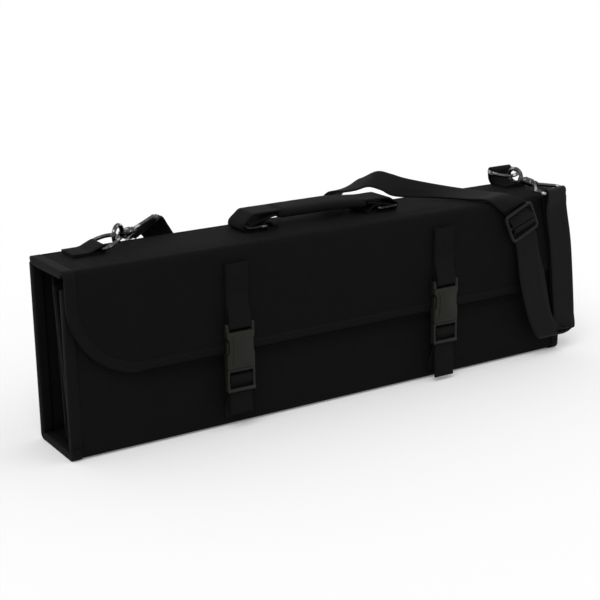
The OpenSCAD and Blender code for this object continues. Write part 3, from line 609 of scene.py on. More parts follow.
def flat_strip(path, sides, thickness, width_steps=6, crown=0.0, v0=0.0):
    """Webbing along a path, with half its width as a vector at each point, and rounded selvages."""
    across = [-1 + 2 * i / width_steps for i in range(width_steps + 1)]
    rows = []
    for p, d, half, along in zip(path, tangents(path), sides, lengths(path)):
        up = half.cross(d).normalized() * thickness / 2
        width = half.length
        edge = 1 - thickness * 0.35 / width
        tip = 1 - thickness * 0.1 / width
        profile = [(k * edge, 1 + crown * (1 - k * k), k) for k in across]
        profile += [(tip, 0.55, 1), (tip, -0.55, 1)]
        profile += [(k * edge, crown * (1 - k * k) - 1, k) for k in reversed(across)]
        profile += [(-tip, -0.55, -1), (-tip, 0.55, -1)]
        rows.append([(p + half * a + up * b, (k * width, along + v0)) for a, b, k in profile])
    return closed_rows(rows)


def even_strip(points, half, thickness, steps, width_steps=6):
    """Webbing of one width on a smooth curve through points."""
    path = spline(points, steps)
    return flat_strip(path, [half] * len(path), thickness, width_steps)


def girth(radius, sides, along):
    """Places on the cloth round a bar."""
    return [(2 * math.pi * radius * k / sides, along) for k in range(sides + 1)]


def round_bar(path, radius, sides=14, closed=False):
    """A round bar along a path; radius is a number or one for each point."""
    radii = radius if hasattr(radius, "__len__") else [radius] * len(path)
    t = tangents(path, closed)
    spare = Vector((0, 0, 1)) if abs(t[0].z) < 0.9 else Vector((0, 1, 0))
    normal = spare.cross(t[0]).normalized()
    normals = [normal]
    for a, b in zip(t, t[1:]):
        normal = a.rotation_difference(b) @ normal
        normal = (normal - b * normal.dot(b)).normalized()
        normals.append(normal)
    rows, places = [], []
    for p, d, m, r, along in zip(path, t, normals, radii, lengths(path)):
        q = d.cross(m)
        rows.append([p + (m * c + q * s) * r for c, s in on_circle(0, 0, 1, [360 * k / sides for k in range(sides)])])
        places.append(girth(r, sides, along))
    if closed:
        places.append(places[0])
    return Skin().rings(rows, places, closed)


def turned(profile, sides=24):
    """A turned piece about X, from pairs of a place along X and a radius."""
    angles = [360 * k / sides for k in range(sides)]
    rows = [[vec(x, c, s) for c, s in on_circle(0, 0, r, angles)] for x, r in profile]
    along = lengths([(x, 0) for x, r in profile])
    return Skin().rings(rows, [girth(r, sides, at) for (x, r), at in zip(profile, along)])


def plate(outline, y0, y1):
    """A flat moulded plate: an outline in X and Z, from y0 to y1."""
    work = bmesh.new()
    verts = [work.verts.new((x, 0, z)) for x, z in outline]
    edges = [work.edges.new(pair) for pair in zip(verts, verts[1:] + verts[:1])]
    bmesh.ops.triangle_fill(work, edges=edges, use_beauty=True)
    bmesh.ops.dissolve_limit(work, angle_limit=0.01, verts=work.verts, edges=work.edges)
    work.verts.index_update()
    points = [Vector(v.co) for v in work.verts]
    flat = [[v.index for v in f.verts] for f in work.faces]
    border = [[v.index for v in e.verts] for e in work.edges if len(e.link_faces) == 1]
    work.free()
    n = len(points)
    skin = Skin()
    skin.points = [vec(p.x, y, p.z) for y in (y0, y1) for p in points]
    for f in flat:
        skin.faces += [f, [n + i for i in reversed(f)]]
    skin.faces += [[a, b, n + b, n + a] for a, b in border]
    skin.places = [[(skin.points[i].x, skin.points[i].z) for i in f] for f in skin.faces]
    return skin


def turn(degrees, axis):
    return Matrix.Rotation(math.radians(degrees), 4, axis)


def aim(at, to, roll):
    """Turns X towards a point, then rolls about it."""
    d = (to - at).normalized()
    return (Matrix.Translation(at) @ Matrix.Rotation(math.atan2(d.y, d.x), 4, "Z")
            @ Matrix.Rotation(-math.asin(d.z), 4, "Y") @ turn(roll, "X"))


def rounded_outline(points, radii, steps=5):
    """Corner points in two dimensions, each rounded to its radius."""
    out = []
    n = len(points)
    for i, (p, r) in enumerate(zip(points, radii)):
        p = Vector(p)
        a = (Vector(points[i - 1]) - p).normalized()
        b = (Vector(points[(i + 1) % n]) - p).normalized()
        half = a.angle(b) / 2
        cut = r / math.tan(half)
        centre = p + (a + b).normalized() * (r / math.sin(half))
        start, end = p + a * cut - centre, p + b * cut - centre
        sweep = start.angle_signed(end)
        for k in range(steps + 1):
            q = start.copy()
            q.rotate(Matrix.Rotation(-sweep * k / steps, 2))
            out.append(tuple(centre + q))
    return out


def eased_loop(outline, longest):
    """An outline's points, with three more in each side longer than that."""
    points = []
    for p, q in zip(outline, outline[1:] + outline[:1]):
        points.append(p)
        if math.dist(p, q) > longest:
            points += [(p[0] + (q[0] - p[0]) * k / 4, p[1] + (q[1] - p[1]) * k / 4) for k in (1, 2, 3)]
    return points


def line_of(points, step):
    """Points every step or so along straight runs."""
    out = []
    for a, b in zip(points, points[1:]):
        n = max(1, round((b - a).length / step))
        out += [a.lerp(b, i / n) for i in range(n)]
    out.append(points[-1])
    return out


def bound_edge(stations, width=TAPE_W, thickness=TAPE_T):
    """Tape folded over an edge.

    Each station is a point in the middle of the sheet's thickness, the way out of the sheet's face, half
    its thickness, and the way in from the edge.
    """
    rows, places = [], []
    turn_in, slot = 1.2, 0.25
    wide = [turn_in + (width - turn_in) * k / 4 for k in range(5)]
    for (p, q, half, m), along in zip(stations, lengths([station[0] for station in stations])):
        out = half + thickness
        section = [(a, out) for a in reversed(wide)]
        section += [(0.2, half + thickness * 0.85), (-0.45, half * 0.75), (-0.62, 0.0), (-0.45, -half * 0.75),
                    (0.2, -half - thickness * 0.85)]
        section += [(a, -out) for a in wide]
        section += [(width + 0.1, -half - thickness * 0.4), (width, slot - half), (1.0, slot - half),
                    (1.0, half - slot), (width, half - slot), (width + 0.1, half + thickness * 0.4)]
        rows.append([p + m * a + q * b for a, b in section])
        places.append([(u, along) for u in lengths(section + section[:1])])
    return Skin().rings(rows, places)


def mirrored(stations):
    """The same stations at the other end of the case, the last one first."""
    return [(vec(-p.x, p.y, p.z), q, half, vec(-m.x, m.y, m.z)) for p, q, half, m in reversed(stations)]


# Covers


def cover_crease(x, z, seed):
    """Soft creases and the light unevenness of cloth over a board, in millimetres."""
    depth = bpy.context.scene.case_sizes.crease / MM
    broad = cloth_noise(x, z * 1.6, 85.0, seed)
    small = cloth_noise(x * 1.2, z, 24.0, seed + 4.0)
    return depth * (0.75 * broad + 0.22 * small)


def case_outline():
    """Front panel down, round the bottom, and up the back panel, outer face."""
    bend = CORNER_R + TAPE_T
    points = straight((-FACE, FRONT_H), (-FACE, bend), 4.5)
    points += arc((-FACE + CORNER_R, bend), CORNER_R, 180, 270, 5)[:-1]
    points += straight((-FACE + CORNER_R, TAPE_T), (FACE - CORNER_R, TAPE_T), 5)
    points += arc((FACE - CORNER_R, bend), CORNER_R, 270, 360, 5)
    points += straight((FACE, bend), (FACE, INNER_TOP - 0.6), 4.5)[1:]
    points.append((FACE, INNER_TOP - 0.6))
    return points


FOLD_RUN = CORNER_R * math.pi / 2
BACK_FROM = FRONT_RUN + 2 * FOLD_RUN + 2 * (FACE - CORNER_R)


def case_depth(s):
    """Thickness along the case's outline: full over the boards and thin at the two bottom folds."""
    d = min(abs(s - fold) for fold in (FRONT_RUN + FOLD_RUN / 2, BACK_FROM - FOLD_RUN / 2))
    return PANEL - 1.0 * (1 - smooth((d - 2) / 7))


class CASE_OT_cover(bpy.types.Operator):
    """Makes the folded cover over the front, bottom and back boards"""

    bl_idname = "case.cover"
    bl_label = "Case cover"

    def execute(self, context):
        outline = case_outline()
        total = lengths(outline)[-1]
        puff = context.scene.case_sizes.puff / MM

        def lift(s, x):
            side = smooth((HALF_L - TAPE_T - abs(x)) / 14)
            if s < FRONT_RUN:
                edge = smooth(s / 10) * smooth((FRONT_RUN - s) / 16)
                return side * edge * (puff + cover_crease(x, FRONT_H - s, 1.0) * 0.8 - 0.3)
            if s > BACK_FROM:
                edge = smooth((s - BACK_FROM) / 16) * smooth((total - s) / 10)
                return side * edge * (puff + cover_crease(x, s - BACK_FROM, 2.0))
            return 0.0

        skin = slab(outline, -1, case_depth, lambda s: HALF_L - TAPE_T, lift, even_stations(HALF_L, 6))
        fixed(skin.piece("case_cover", "cover", "cover"), "case", "front_panel", "bottom_spine", "back_panel")
        return {"FINISHED"}


class CASE_OT_tapes(bpy.types.Operator):
    """Makes the tape that binds the ends and the top edge of the case"""

    bl_idname = "case.tapes"
    bl_label = "Edge tapes"

    def execute(self, context):
        half = PANEL / 2
        x, y, z, foot = HALF_L - TAPE_T, -FACE + half, FRONT_H, 10
        path = line_of([vec(-x, y, foot), vec(-x, y, z), vec(x, y, z), vec(x, y, foot)], TAPE_W + 1)
        stations = []
        for p, d in zip(path, tangents(path)):
            m = d.cross(vec(0, 1, 0)).normalized()
            m = m if m.dot(vec(0, y, z / 2) - p) > 0 else -m
            stations.append((p, vec(0, -1, 0), half, m / max(abs(m.x), abs(m.z))))
        fixed(bound_edge(stations).piece("front_tape", "tape", "tape"), "case", "front_binding")

        outline = case_outline()
        ends = Skin()
        for side in (-1, 1):
            stations = []
            for p, n, at in zip(outline, normals_of(outline), lengths(outline)):
                if at >= FRONT_RUN - 6:
                    half = case_depth(at) / 2
                    stations.append((vec(side * x, *(Vector(p) + n * half)), vec(0, *-n), half, vec(-side, 0, 0)))
            ends.join(bound_edge(stations))
        fixed(ends.piece("end_tapes", "tape", "tape"), "case", "back_binding")
        return {"FINISHED"}


# Lid and flap


def lid_outline():
    """From the lid's back edge over its top, round the front fold and down the flap, outer face."""
    points = [(HALF_D, INNER_TOP + 1.2)] + arc((HALF_D - BACK_R, CASE_H - BACK_R), BACK_R, 0, 90, 5)
    points += straight((HALF_D - BACK_R, CASE_H), (FLAP_OUT + FOLD_R, CASE_H), 4)[1:]
    points += arc((FLAP_OUT + FOLD_R, CASE_H - FOLD_R), FOLD_R, 90, 180, 6)
    points += straight((FLAP_OUT, CASE_H - FOLD_R), (FLAP_OUT, FLAP_LOW + FLAP_R), 4)[1:]
    points += [(FLAP_OUT, FLAP_LOW + FLAP_R - FLAP_R * math.sin(math.radians(5 * k))) for k in range(18)]
    points.append((FLAP_OUT, FLAP_LOW + TAPE_T))
    return points


def flap_reach(z):
    """Half length of the flap at a height, inside its tape."""
    r = FLAP_R - TAPE_T
    x = FLAP_HALF - TAPE_T
    h = FLAP_LOW + TAPE_T + r - z
    return x if h <= 0 else x - r + math.sqrt(max(0.0, r * r - h * h))


class LidShape:
    """The outline of the lid and flap, with its height and thickness at each arc length."""

    def __init__(self):
        self.outline = lid_outline()
        self.s = lengths(self.outline)
        self.total = self.s[-1]
        self.top_end = next(s for s, p in zip(self.s, self.outline) if p[0] <= FLAP_OUT + FOLD_R + 1e-6)
        self.flap_start = self.top_end + FOLD_R * math.pi / 2

    def height(self, s):
        return CASE_H - FOLD_R - (s - self.flap_start)

    def depth(self, s):
        if s < self.flap_start:
            thick = PANEL - 3.4 * smooth((s - self.top_end + 4.2) / 4)
            return thick * (0.55 + 0.45 * smooth(s / 4))
        return 1.6 + (FLAP_T - 1.6) * smooth((s - self.flap_start) / 6)

    def reach(self, s):
        if s < self.flap_start:
            return HALF_L - TAPE_T - (0.8 if s > self.top_end else 0.0) * smooth((s - self.top_end) / 5)
        return flap_reach(self.height(s))

    def sag(self, s, x):
        """The lid's ends hang a little, no lower than its board lets them."""
        if s >= self.flap_start:
            return 0.0
        left = smooth((-x - 170) / 62) * 1.15 + smooth((x - 205) / 35) * 0.6
        back = 1 - smooth((s - 8) / 60)
        return -left * (0.25 + 0.75 * back)


LID = LidShape()


class CASE_OT_lid(bpy.types.Operator):
    """Makes the lid, the front fold and the flap as one sewn cover"""

    bl_idname = "case.lid"
    bl_label = "Lid and flap"

    def execute(self, context):
        puff = context.scene.case_sizes.puff / MM

        def lift(s, x):
            side = smooth((LID.reach(s) - abs(x)) / 16)
            if s < LID.top_end:
                edge = smooth((s - 6) / 12) * smooth((LID.top_end - s) / 12)
                return side * edge * (puff * 0.9 + cover_crease(x, s, 3.0) * 0.6) + LID.sag(s, x)
            if s < LID.flap_start:
                return 0.0
            t = s - LID.flap_start
            edge = smooth(t / 12) * smooth((LID.total - s) / 14)
            pull = sum(math.exp(-((abs(x) - BUCKLE_X - o) / 5.0) ** 2) for o in (-14, 14))
            return side * edge * (puff + cover_crease(x, t, 5.0) - 0.35 * pull * smooth((60 - t) / 60))

        skin = slab(LID.outline, -1, LID.depth, LID.reach, lift, even_stations(HALF_L, 6))
        cover = skin.piece("lid_and_flap", "cover", "cover")
        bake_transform(cover)
        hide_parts("top_spine", "flap_fold", "flap")

        path = straight((FACE + 0.5, INNER_TOP - 10), (FACE + 0.5, INNER_TOP - 1), 1.5)
        path += straight((FACE + 0.5, INNER_TOP - 1), (HALF_D + 0.5, INNER_TOP + 1.5), 1)
        path += arc((HALF_D - 3.1, CASE_H - 3.5), BACK_R, 0, 95, 6)
        drape = slab(path, -1, lambda s: 0.7, lambda s: HALF_L - TAPE_W - 2,
                     lambda s, x: LID.sag(8, x) * smooth((s - 12) / 4), even_stations(HALF_L, 8), False)
        fold = drape.piece("back_fold", "cover", "cover")
        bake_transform(fold)
        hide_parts("lid_fold")
        return {"FINISHED"}


class CASE_OT_flap_tape(bpy.types.Operator):
    """Makes the tape that binds the lid's ends and the flap's edge in one run"""

    bl_idname = "case.flap_tape"
    bl_label = "Flap tape"

    def execute(self, context):
        left = []
        for p, n, at in zip(LID.outline, normals_of(LID.outline), LID.s):
            if at >= 3 and LID.height(at) >= FLAP_LOW + FLAP_R:
                half, x = LID.depth(at) / 2, LID.reach(at)
                c = Vector(p) + n * half - n * LID.sag(at, -x)
                left.append((vec(-x, *c), vec(0, *-n), half, vec(1, 0, 0)))
        r = FLAP_R - TAPE_T
        cx, cz = FLAP_HALF - TAPE_T - r, FLAP_LOW + FLAP_R
        y, half, out = FLAP_OUT + FLAP_T / 2, FLAP_T / 2, vec(0, -1, 0)
        for c, s in on_circle(0, 0, 1, range(3, 91, 3)):
            left.append((vec(-cx - r * c, y, cz - r * s), out, half, vec(c, 0, s)))
        bottom = [(vec(-cx + 2 * cx * i / 60, y, FLAP_LOW + TAPE_T), out, half, vec(0, 0, 1))
                  for i in range(1, 60)]
        tape = bound_edge(left + bottom + mirrored(left)).piece("flap_tape", "tape", "tape")
        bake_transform(tape)
        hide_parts("flap_binding")
        return {"FINISHED"}


# Inner leaves


def leaning(y, height, lean, thickness):
    """Centre line of a leaf in Y and Z, from its foot to its top edge, a little bowed."""
    foot = thickness * 0.75
    rise = (height - foot) * math.cos(math.radians(lean))
    run = (height - foot) * math.sin(math.radians(lean))
    middle = y + thickness / 2
    points = [(middle, PANEL)]
    for t in (i / 26 for i in range(27)):
        points.append((middle + run * t - math.sin(math.pi * t) * 0.8, PANEL + foot + rise * t))
    return points


def leaf_skin(y, height, lean, thickness, half_length, hem):
    line = leaning(y, height, lean, thickness)
    total = lengths(line)[-1]

    def depth(s):
        return thickness + hem * (1 - smooth((s - 3) / 7)) * smooth(s / 2)

    def lift(s, x):
        side = smooth((half_length - abs(x)) / 10)
        return side * smooth(s / 12) * smooth((total - s) / 10) * 0.5 * cover_crease(x, s, 7.0 + y)

    front = [tuple(Vector(p) + n * depth(s) / 2) for p, n, s in zip(line, normals_of(line), lengths(line))]
    return slab(front, 1, depth, lambda s: half_length, lift, even_stations(half_length, 8)), line


class CASE_OT_leaves(bpy.types.Operator):
    """Makes the two inner leaves with their pocket, elastic and tape"""

    bl_idname = "case.leaves"
    bl_label = "Inner leaves"

    def execute(self, context):
        tapes = Skin()
        for name, node, y, height, lean, thick, inset, hem in (
                ("knife_leaf_cloth", "knife_leaf", LEAF_Y, LEAF_H, LEAF_LEAN, LEAF_T, LEAF_INSET, 2.4),
                ("divider_cloth", "divider", DIVIDER_Y, DIVIDER_H, DIVIDER_LEAN, DIVIDER_T, DIVIDER_INSET, 2.0)):
            skin, line = leaf_skin(y, height, lean, thick, HALF_L - inset, hem)
            fixed(skin.piece(name, "lining", "lining"), "case", node)
            tapes.join(self.three_sides(line, thick / 2, HALF_L - inset))
        fixed(tapes.piece("leaf_tape", "tape", "tape"), "case", "leaf_binding")

        for name, node, low, high, face, bulge, key, slot in (
                ("leaf_pocket_cloth", "leaf_pocket", 8, 80, "leaf", 1.6, "pocket", "pocket"),
                ("leaf_elastic_band", "leaf_elastic", 89, 114, "leaf", 2.0, "elastic", "tape"),
                ("back_pocket_cloth", "back_pocket", 9, 81, "back", 1.4, "pocket", "pocket"),
                ("back_elastic_band", "back_elastic", 97, 122, "back", 1.8, "elastic", "tape")):
            piece = fixed(self.band(low, high, face, bulge).piece(name, key, slot), "case", node)
        return {"FINISHED"}

    def three_sides(self, line, half, x):
        """Tape up one end of a leaf, along its top, and down the other end."""
        points = [vec(0, a, b) for a, b in line]
        ways = tangents(points)
        left = [(vec(-x, p.y, p.z), vec(0, -w.z, w.y), half, vec(1, 0, 0))
                for p, w in zip(points[3:-1], ways[3:-1])]
        top, way = points[-1], ways[-1]
        across = [(vec(-x + 5 + (2 * x - 10) * i / 50, top.y, top.z), vec(0, -way.z, way.y), half, -way)
                  for i in range(51)]
        return bound_edge(left + across + mirrored(left), 6.0, 0.6)

    def band(self, low, high, face, bulge):
        """A pocket or an elastic sewn down every so often, standing out between its seams."""
        lean = math.radians(LEAF_LEAN)
        reach = HALF_L - 24
        pocket = high - low > 40
        pitch = 2 * reach / (9 if pocket else 14)
        columns = round(2 * reach / 4)
        heights = [low + (high - low) * i / 8 for i in range(9)]
        rows = []
        for i in range(columns + 1):
            x = -reach + 2 * reach * i / columns
            wave = abs(math.sin(math.pi * (x + reach) / pitch)) ** 0.7
            row = []
            for h, clear in [(h, 1.0) for h in heights] + [(h, 0.3) for h in reversed(heights)]:
                loose = smooth((h - low) / (high - low)) if pocket else 0.8
                out = 0.5 + bulge * wave * (0.35 + 0.65 * loose) + clear
                p = vec(x, FACE - PANEL - out + 0.4, h)
                if face == "leaf":
                    bow = math.sin(math.pi * min(1.0, h / LEAF_H)) * 0.8
                    p = (vec(*LEAF_BASE) + vec(x, math.sin(lean) * h, math.cos(lean) * h)
                         + vec(0, -math.cos(lean), math.sin(lean)) * (out - 0.7 + bow))
                row.append((p, (x, h)))
            rows.append(row)
        return closed_rows(rows)


# Buckles and their straps


def eased_copy(node, name, finish_key, bevel):
    """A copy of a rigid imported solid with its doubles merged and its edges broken."""
    work = bmesh.new()
    work.from_mesh(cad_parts[node].data)
    bmesh.ops.remove_doubles(work, verts=work.verts, dist=1e-6)
    bmesh.ops.dissolve_limit(work, angle_limit=math.radians(0.6), verts=work.verts, edges=work.edges)
    mesh = bpy.data.meshes.new(name)
    work.to_mesh(mesh)
    work.free()
    return dress(new_object(name, mesh), finish_key, MOULD_SHARP, bevel)


class CASE_OT_buckles(bpy.types.Operator):
    """Makes the side-release buckles: socket, plug frame and sprung arms"""

    bl_idname = "case.buckles"
    bl_label = "Buckles"

    def execute(self, context):
        for name in ("left", "right"):
            for node, piece, body, bevel in (("socket_", "buckle_socket_", "flap", 0.3),
                                             ("plug_", "buckle_plug_", "plug_" + name, 0.3),
                                             ("plug_arms_", "buckle_arms_", "plug_" + name, 0.15)):
                part = eased_copy(node + name, piece + name, "buckle", bevel)
                fixed(part, body, node + name)
        return {"FINISHED"}


def upper_strap_line(rise):
    back = FLAP_OUT - WEB_T / 2
    ahead = back - WEB_T - 0.1
    r = BAR_R + WEB_T / 2 + 0.15
    y, z = BUCKLE_Y, BAR_Z + rise
    start = FLAP_TOP - 7
    return ([(back, start), (back, start - 12), (back, z + 14), ((back + y + r) / 2, z + 6)]
            + on_circle(y, z, r, range(0, 181, 20), -1)
            + [((ahead + y - r) / 2 - 0.4, z + 9), (ahead, z + 18), (ahead, start - 12), (ahead, start)])


def lower_strap_line(tail, rise):
    sewn = -FACE - WEB_T / 2
    r = BAR_R + 0.1 + WEB_T / 2 + 0.15
    y, z = BUCKLE_Y, PLUG_BAR_Z + rise
    rail_y, rail_z = y + 0.95, RAIL_Z + rise
    base = y + max(r, 0.95 + WEB_T + 0.15)
    return ([(sewn, PANEL + 3), (sewn, PANEL + 11), ((sewn + base) / 2, PANEL + 17), (base, PANEL + 24),
             (base, rail_z + 1), (y + r, z - 3)] + on_circle(y, z, r, range(0, 181, 20))
            + [(y + 0.25 - r, z - 2.4), (y + 0.4, z - 6.2), (rail_y, rail_z), (rail_y - 0.4, rail_z - 3),
               (rail_y - 1, rail_z - 8), (rail_y - 1.6, tail + 5), (rail_y - 2.2, tail)])


def web_piece(skin, name):
    return skin.piece(name, "webbing", "webbing", WEB_SHARP)


class CASE_OT_buckle_straps(bpy.types.Operator):
    """Makes the webbing above and below each buckle"""

    bl_idname = "case.buckle_straps"
    bl_label = "Buckle straps"

    def execute(self, context):
        for name, x, tail, rise in (("left", -BUCKLE_X, 14, 0), ("right", BUCKLE_X, 4, RIGHT_RISE)):
            upper, lower = (even_strip([vec(x, y, z) for y, z in line], vec(WEB_W / 2, 0, 0), WEB_T, 4)
                            for line in (upper_strap_line(rise), lower_strap_line(tail, rise)))
            fixed(web_piece(upper, "upper_webbing_" + name), "flap", "upper_strap_" + name)
            lower = web_piece(lower, "lower_webbing_" + name)
            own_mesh(lower)
            fixed(lower, "case", "lower_strap_" + name)
        return {"FINISHED"}


# Handle


def wire_loop_path(half_x, half_y, r):
    corners = [(half_x, -half_y), (half_x, half_y), (-half_x, half_y), (-half_x, -half_y)]
    return [vec(x, y, 0) for x, y in eased_loop(rounded_outline(corners, [r] * 4, 6), 6)]


class CASE_OT_handle(bpy.types.Operator):
    """Makes the carry handle: padded grip, webbing, wire loops and the straps that hold them"""

    bl_idname = "case.handle"
    bl_label = "Handle"

    def execute(self, context):
        side = vec(0, HANDLE_W / 2, 0)
        loops, chapes = Skin(), Skin()
        for s in (-1, 1):
            at = Matrix.Translation((s * (FOOT_X - LOOP_W / 2), HANDLE_Y, LOOP_Z))
            path = wire_loop_path(LOOP_W / 2, HANDLE_W / 2 + LOOP_WIRE + 1, 3)
            loops.join(round_bar(path, LOOP_WIRE, 14, closed=True).moved(at))
            x = FOOT_X - LOOP_W
            low = CASE_H + WEB_T / 2
            line = [(x - 11, low), (x - 6, low), (x - 2, low)]
            line += on_circle(x, LOOP_Z, LOOP_WIRE + WEB_T / 2 + 0.05, range(-90, 91, 30))
            line += [(x - 4, low + WEB_T + 3.5), (x - 7.5, low + WEB_T + 0.1), (x - 11, low + WEB_T + 0.1)]
            chapes.join(even_strip([vec(s * a, HANDLE_Y, b) for a, b in line], side, WEB_T, 3))
        fixed(loops.piece("handle_wire_loops", "dull metal", "metal"), "lid", "handle_loops")
        fixed(web_piece(chapes, "handle_holders"), "lid", "handle_chapes")

        r = LOOP_WIRE + WEB_T / 2 + 0.35
        top = GRIP_Z + 2.2
        end = [(FOOT_X - 28, top - 3), (FOOT_X - 21, top - 4.2), (FOOT_X - 12, top - 6.8),
               (FOOT_X - r - 1, LOOP_Z + 1)]
        end += on_circle(FOOT_X, LOOP_Z, r, range(180, 361, 30))
        end += [(FOOT_X + r - 0.8, LOOP_Z + 3), (FOOT_X - 3, top - 3.2), (FOOT_X - 6.5, top - 0.5),
                (FOOT_X - 11, top), (FOOT_X - 26, top)]
        line = end + [(x, top) for x in (24, 0, -24)] + [(-a, b) for a, b in reversed(end)]
        line = [(a, b - self.droop(a) * max(0.0, b - LOOP_Z) / (top - LOOP_Z)) for a, b in line]
        belt = web_piece(even_strip([vec(a, HANDLE_Y, b) for a, b in line], side, WEB_T, 3), "handle_belt")
        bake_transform(belt)
        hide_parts("handle_webbing")

        grip = fixed(self.grip().piece("handle_pad", "grip", "grip"), "handle", "handle_grip")
        return {"FINISHED"}

    def droop(self, x):
        """How far the handle hangs at its right end."""
        return 2.8 * smooth((x - 10) / 40)

    def grip(self):
        """A sleeve of cloth round thin foam, pinched at both ends and crowned between."""
        reach, half_thick, stations, around = FOOT_X - 30, 4.4, 30, 20
        rows = []
        for i in range(stations + 1):
            f = -1 + 2 * i / stations
            x = reach * f
            full = 1 - 0.3 * (1 - smooth((1 - abs(f)) / 0.1))
            wide = (HANDLE_W / 2 + 2) * (1 - 0.07 * (1 - smooth((1 - abs(f)) / 0.15)))
            row = []
            for k in range(around):
                a = 2 * math.pi * k / around
                c, s = math.cos(a), math.sin(a)
                y = math.copysign(abs(c) ** 0.55, c) * wide
                z = math.copysign(abs(s) ** 0.75, s) * half_thick * full
                z += 0.25 * cloth_noise(x, y, 12.0, 11.0) * full
                row.append((vec(x, HANDLE_Y + y, GRIP_Z - 0.4 + z - self.droop(x)), (x, y + (60 if z < 0 else 0))))
            rows.append(row)
        return closed_rows(rows)


# Rings and hooks


def from_jaw(*pairs):
    """Places measured from the middle of a hook's jaw wire, along X, each with a second number."""
    return [(JAW_R + a, b) for a, b in pairs]


GATE_PIN = vec(JAW_R + 0.4, 0, -2.6)


class CASE_OT_metal(bpy.types.Operator):
    """Makes the D rings and the swivel snap hooks"""

    bl_idname = "case.metal"
    bl_label = "Rings and hooks"

    def execute(self, context):
        for name, ring, bow in (("left", RING_L, BOW_L), ("right", RING_RT, BOW_R)):
            wire = self.d_ring().moved(aim(ring, bow, 0)).piece("ring_wire_" + name, "metal", "metal")
            fixed(wire, "ring_" + name, "d_ring_" + name)
        for name, jaw, eye, roll in (("left", JAW_L, EYE_L, EYE_L_ROLL), ("right", JAW_RT, EYE_R, 90)):
            for skin, turned_by, piece, body, nodes, bevel in (
                    (self.jaw(), 0, "hook_body_", "hook_", ("hook_jaw_", "gate_pin_"), 0.15),
                    (self.gate(), 0, "hook_tongue_", "gate_", ("hook_gate_",), 0.0),
                    (self.eye(), roll, "hook_loop_", "eye_", ("hook_eye_",), 0.0)):
                skin.moved(aim(jaw, eye, turned_by))
                part = skin.piece(piece + name, "metal", "metal", METAL_SHARP, bevel)
                fixed(part, body + name, *[node + name for node in nodes])
        return {"FINISHED"}

    def d_ring(self):
        corner = 2.2
        bow = [vec(RING_LEG + a, b, 0) for b, a in on_circle(0, 0, RING_R, range(180, -1, -10))]
        legs = [vec(0, RING_R - corner, 0)]
        legs += [vec(x, y, 0) for x, y in on_circle(corner, RING_R - corner, corner, (150, 120, 90))]
        path = [vec(p.x, -p.y, 0) for p in legs] + bow + legs[::-1]
        path += [vec(0, RING_R - corner - (2 * RING_R - 2 * corner) * i / 5, 0) for i in range(1, 5)]
        return round_bar(path, RING_WIRE, 16, closed=True)

    def jaw(self):
        last = 34
        radii = [HOOK_ROD * (1.12 - 0.2 * smooth(i / last)) for i in range(last + 1)]
        radii[-1] *= 0.72
        wire = [vec(x, 0, z) for x, z in arc((0, 0), JAW_R, 0, 225, last)]
        skin = round_bar(wire, radii, 16)
        cheek = rounded_outline(from_jaw((-1.4, -4.4), (4.4, -3.4), (5.2, 2.0), (-1.4, 1.6)), [1.6, 1.4, 0.8, 0.8], 4)
        for y0, y1 in ((-2.6, -1.45), (1.45, 2.6)):
            skin.join(plate(cheek, y0, y1))
        core = from_jaw((2.4, -3.2), (4.4, -3.2), (5.2, 2.0), (-1.4, 1.6), (-1.4, 0.0), (2.2, -0.4))
        skin.join(plate(rounded_outline(core, [0.4] * 6, 2), -1.8, 1.8))
        skin.join(turned(from_jaw((3.6, 1.6), (4.2, 3.1), (4.9, 3.6), (6.6, 3.7), (7.2, 3.3), (7.8, 3.2), (8.4, 3.6),
                                  (12.2, 3.6), (13.4, 3.1), (14.0, 2.2), (14.0, 1.5), (13.0, 1.4))))
        pin = [vec(GATE_PIN.x, y, GATE_PIN.z) for y in (-3.0, -2.8, 0, 2.8, 3.0)]
        return skin.join(round_bar(pin, [0.6, 1.0, 0.7, 1.0, 0.6], 12))

    def gate(self):
        (x, z), = on_circle(0, 0, JAW_R, [232])
        along = vec(x, 0, z) - GATE_PIN
        reach = along.length - HOOK_ROD - 0.2
        way = along.normalized()
        path = [GATE_PIN - way * 1.2 + way * (reach + 1.2) * i / 10 for i in range(11)]
        skin = round_bar(path, [1.1, 1.35, 1.35, 1.25, 1.2, 1.15, 1.15, 1.15, 1.15, 1.1, 0.7], 12)
        thumb = GATE_PIN + way * reach * 0.55
        down = vec(way.z, 0, -way.x)
        down = down if down.z < 0 else -down
        return skin.join(round_bar([thumb, thumb + down * 1.4, thumb + down * 2.4], [0.8, 0.9, 0.5], 10))

    def eye(self):
        back = HOOK_L - 9
        skin = turned(from_jaw((7.2, 1.2), (7.4, 2.0), (10.6, 2.0), (11, 1.2), (14.2, 1.2), (14.6, 2.6), (15.4, 3.0),
                               (17.2, 3.0), (18.4, 2.4), (18.6, 1.0)))
        half = [(JAW_R + 17, -1.2), (back, -EYE_HALF), (HOOK_L, -EYE_HALF)]
        outline = rounded_outline(half + [(x, -z) for x, z in reversed(half)], [0.6, 3, 2.2, 2.2, 3, 0.6], 5)
        return skin.join(round_bar([vec(x, 0, z) for x, z in eased_loop(outline, 5)], RING_WIRE, 14, closed=True))


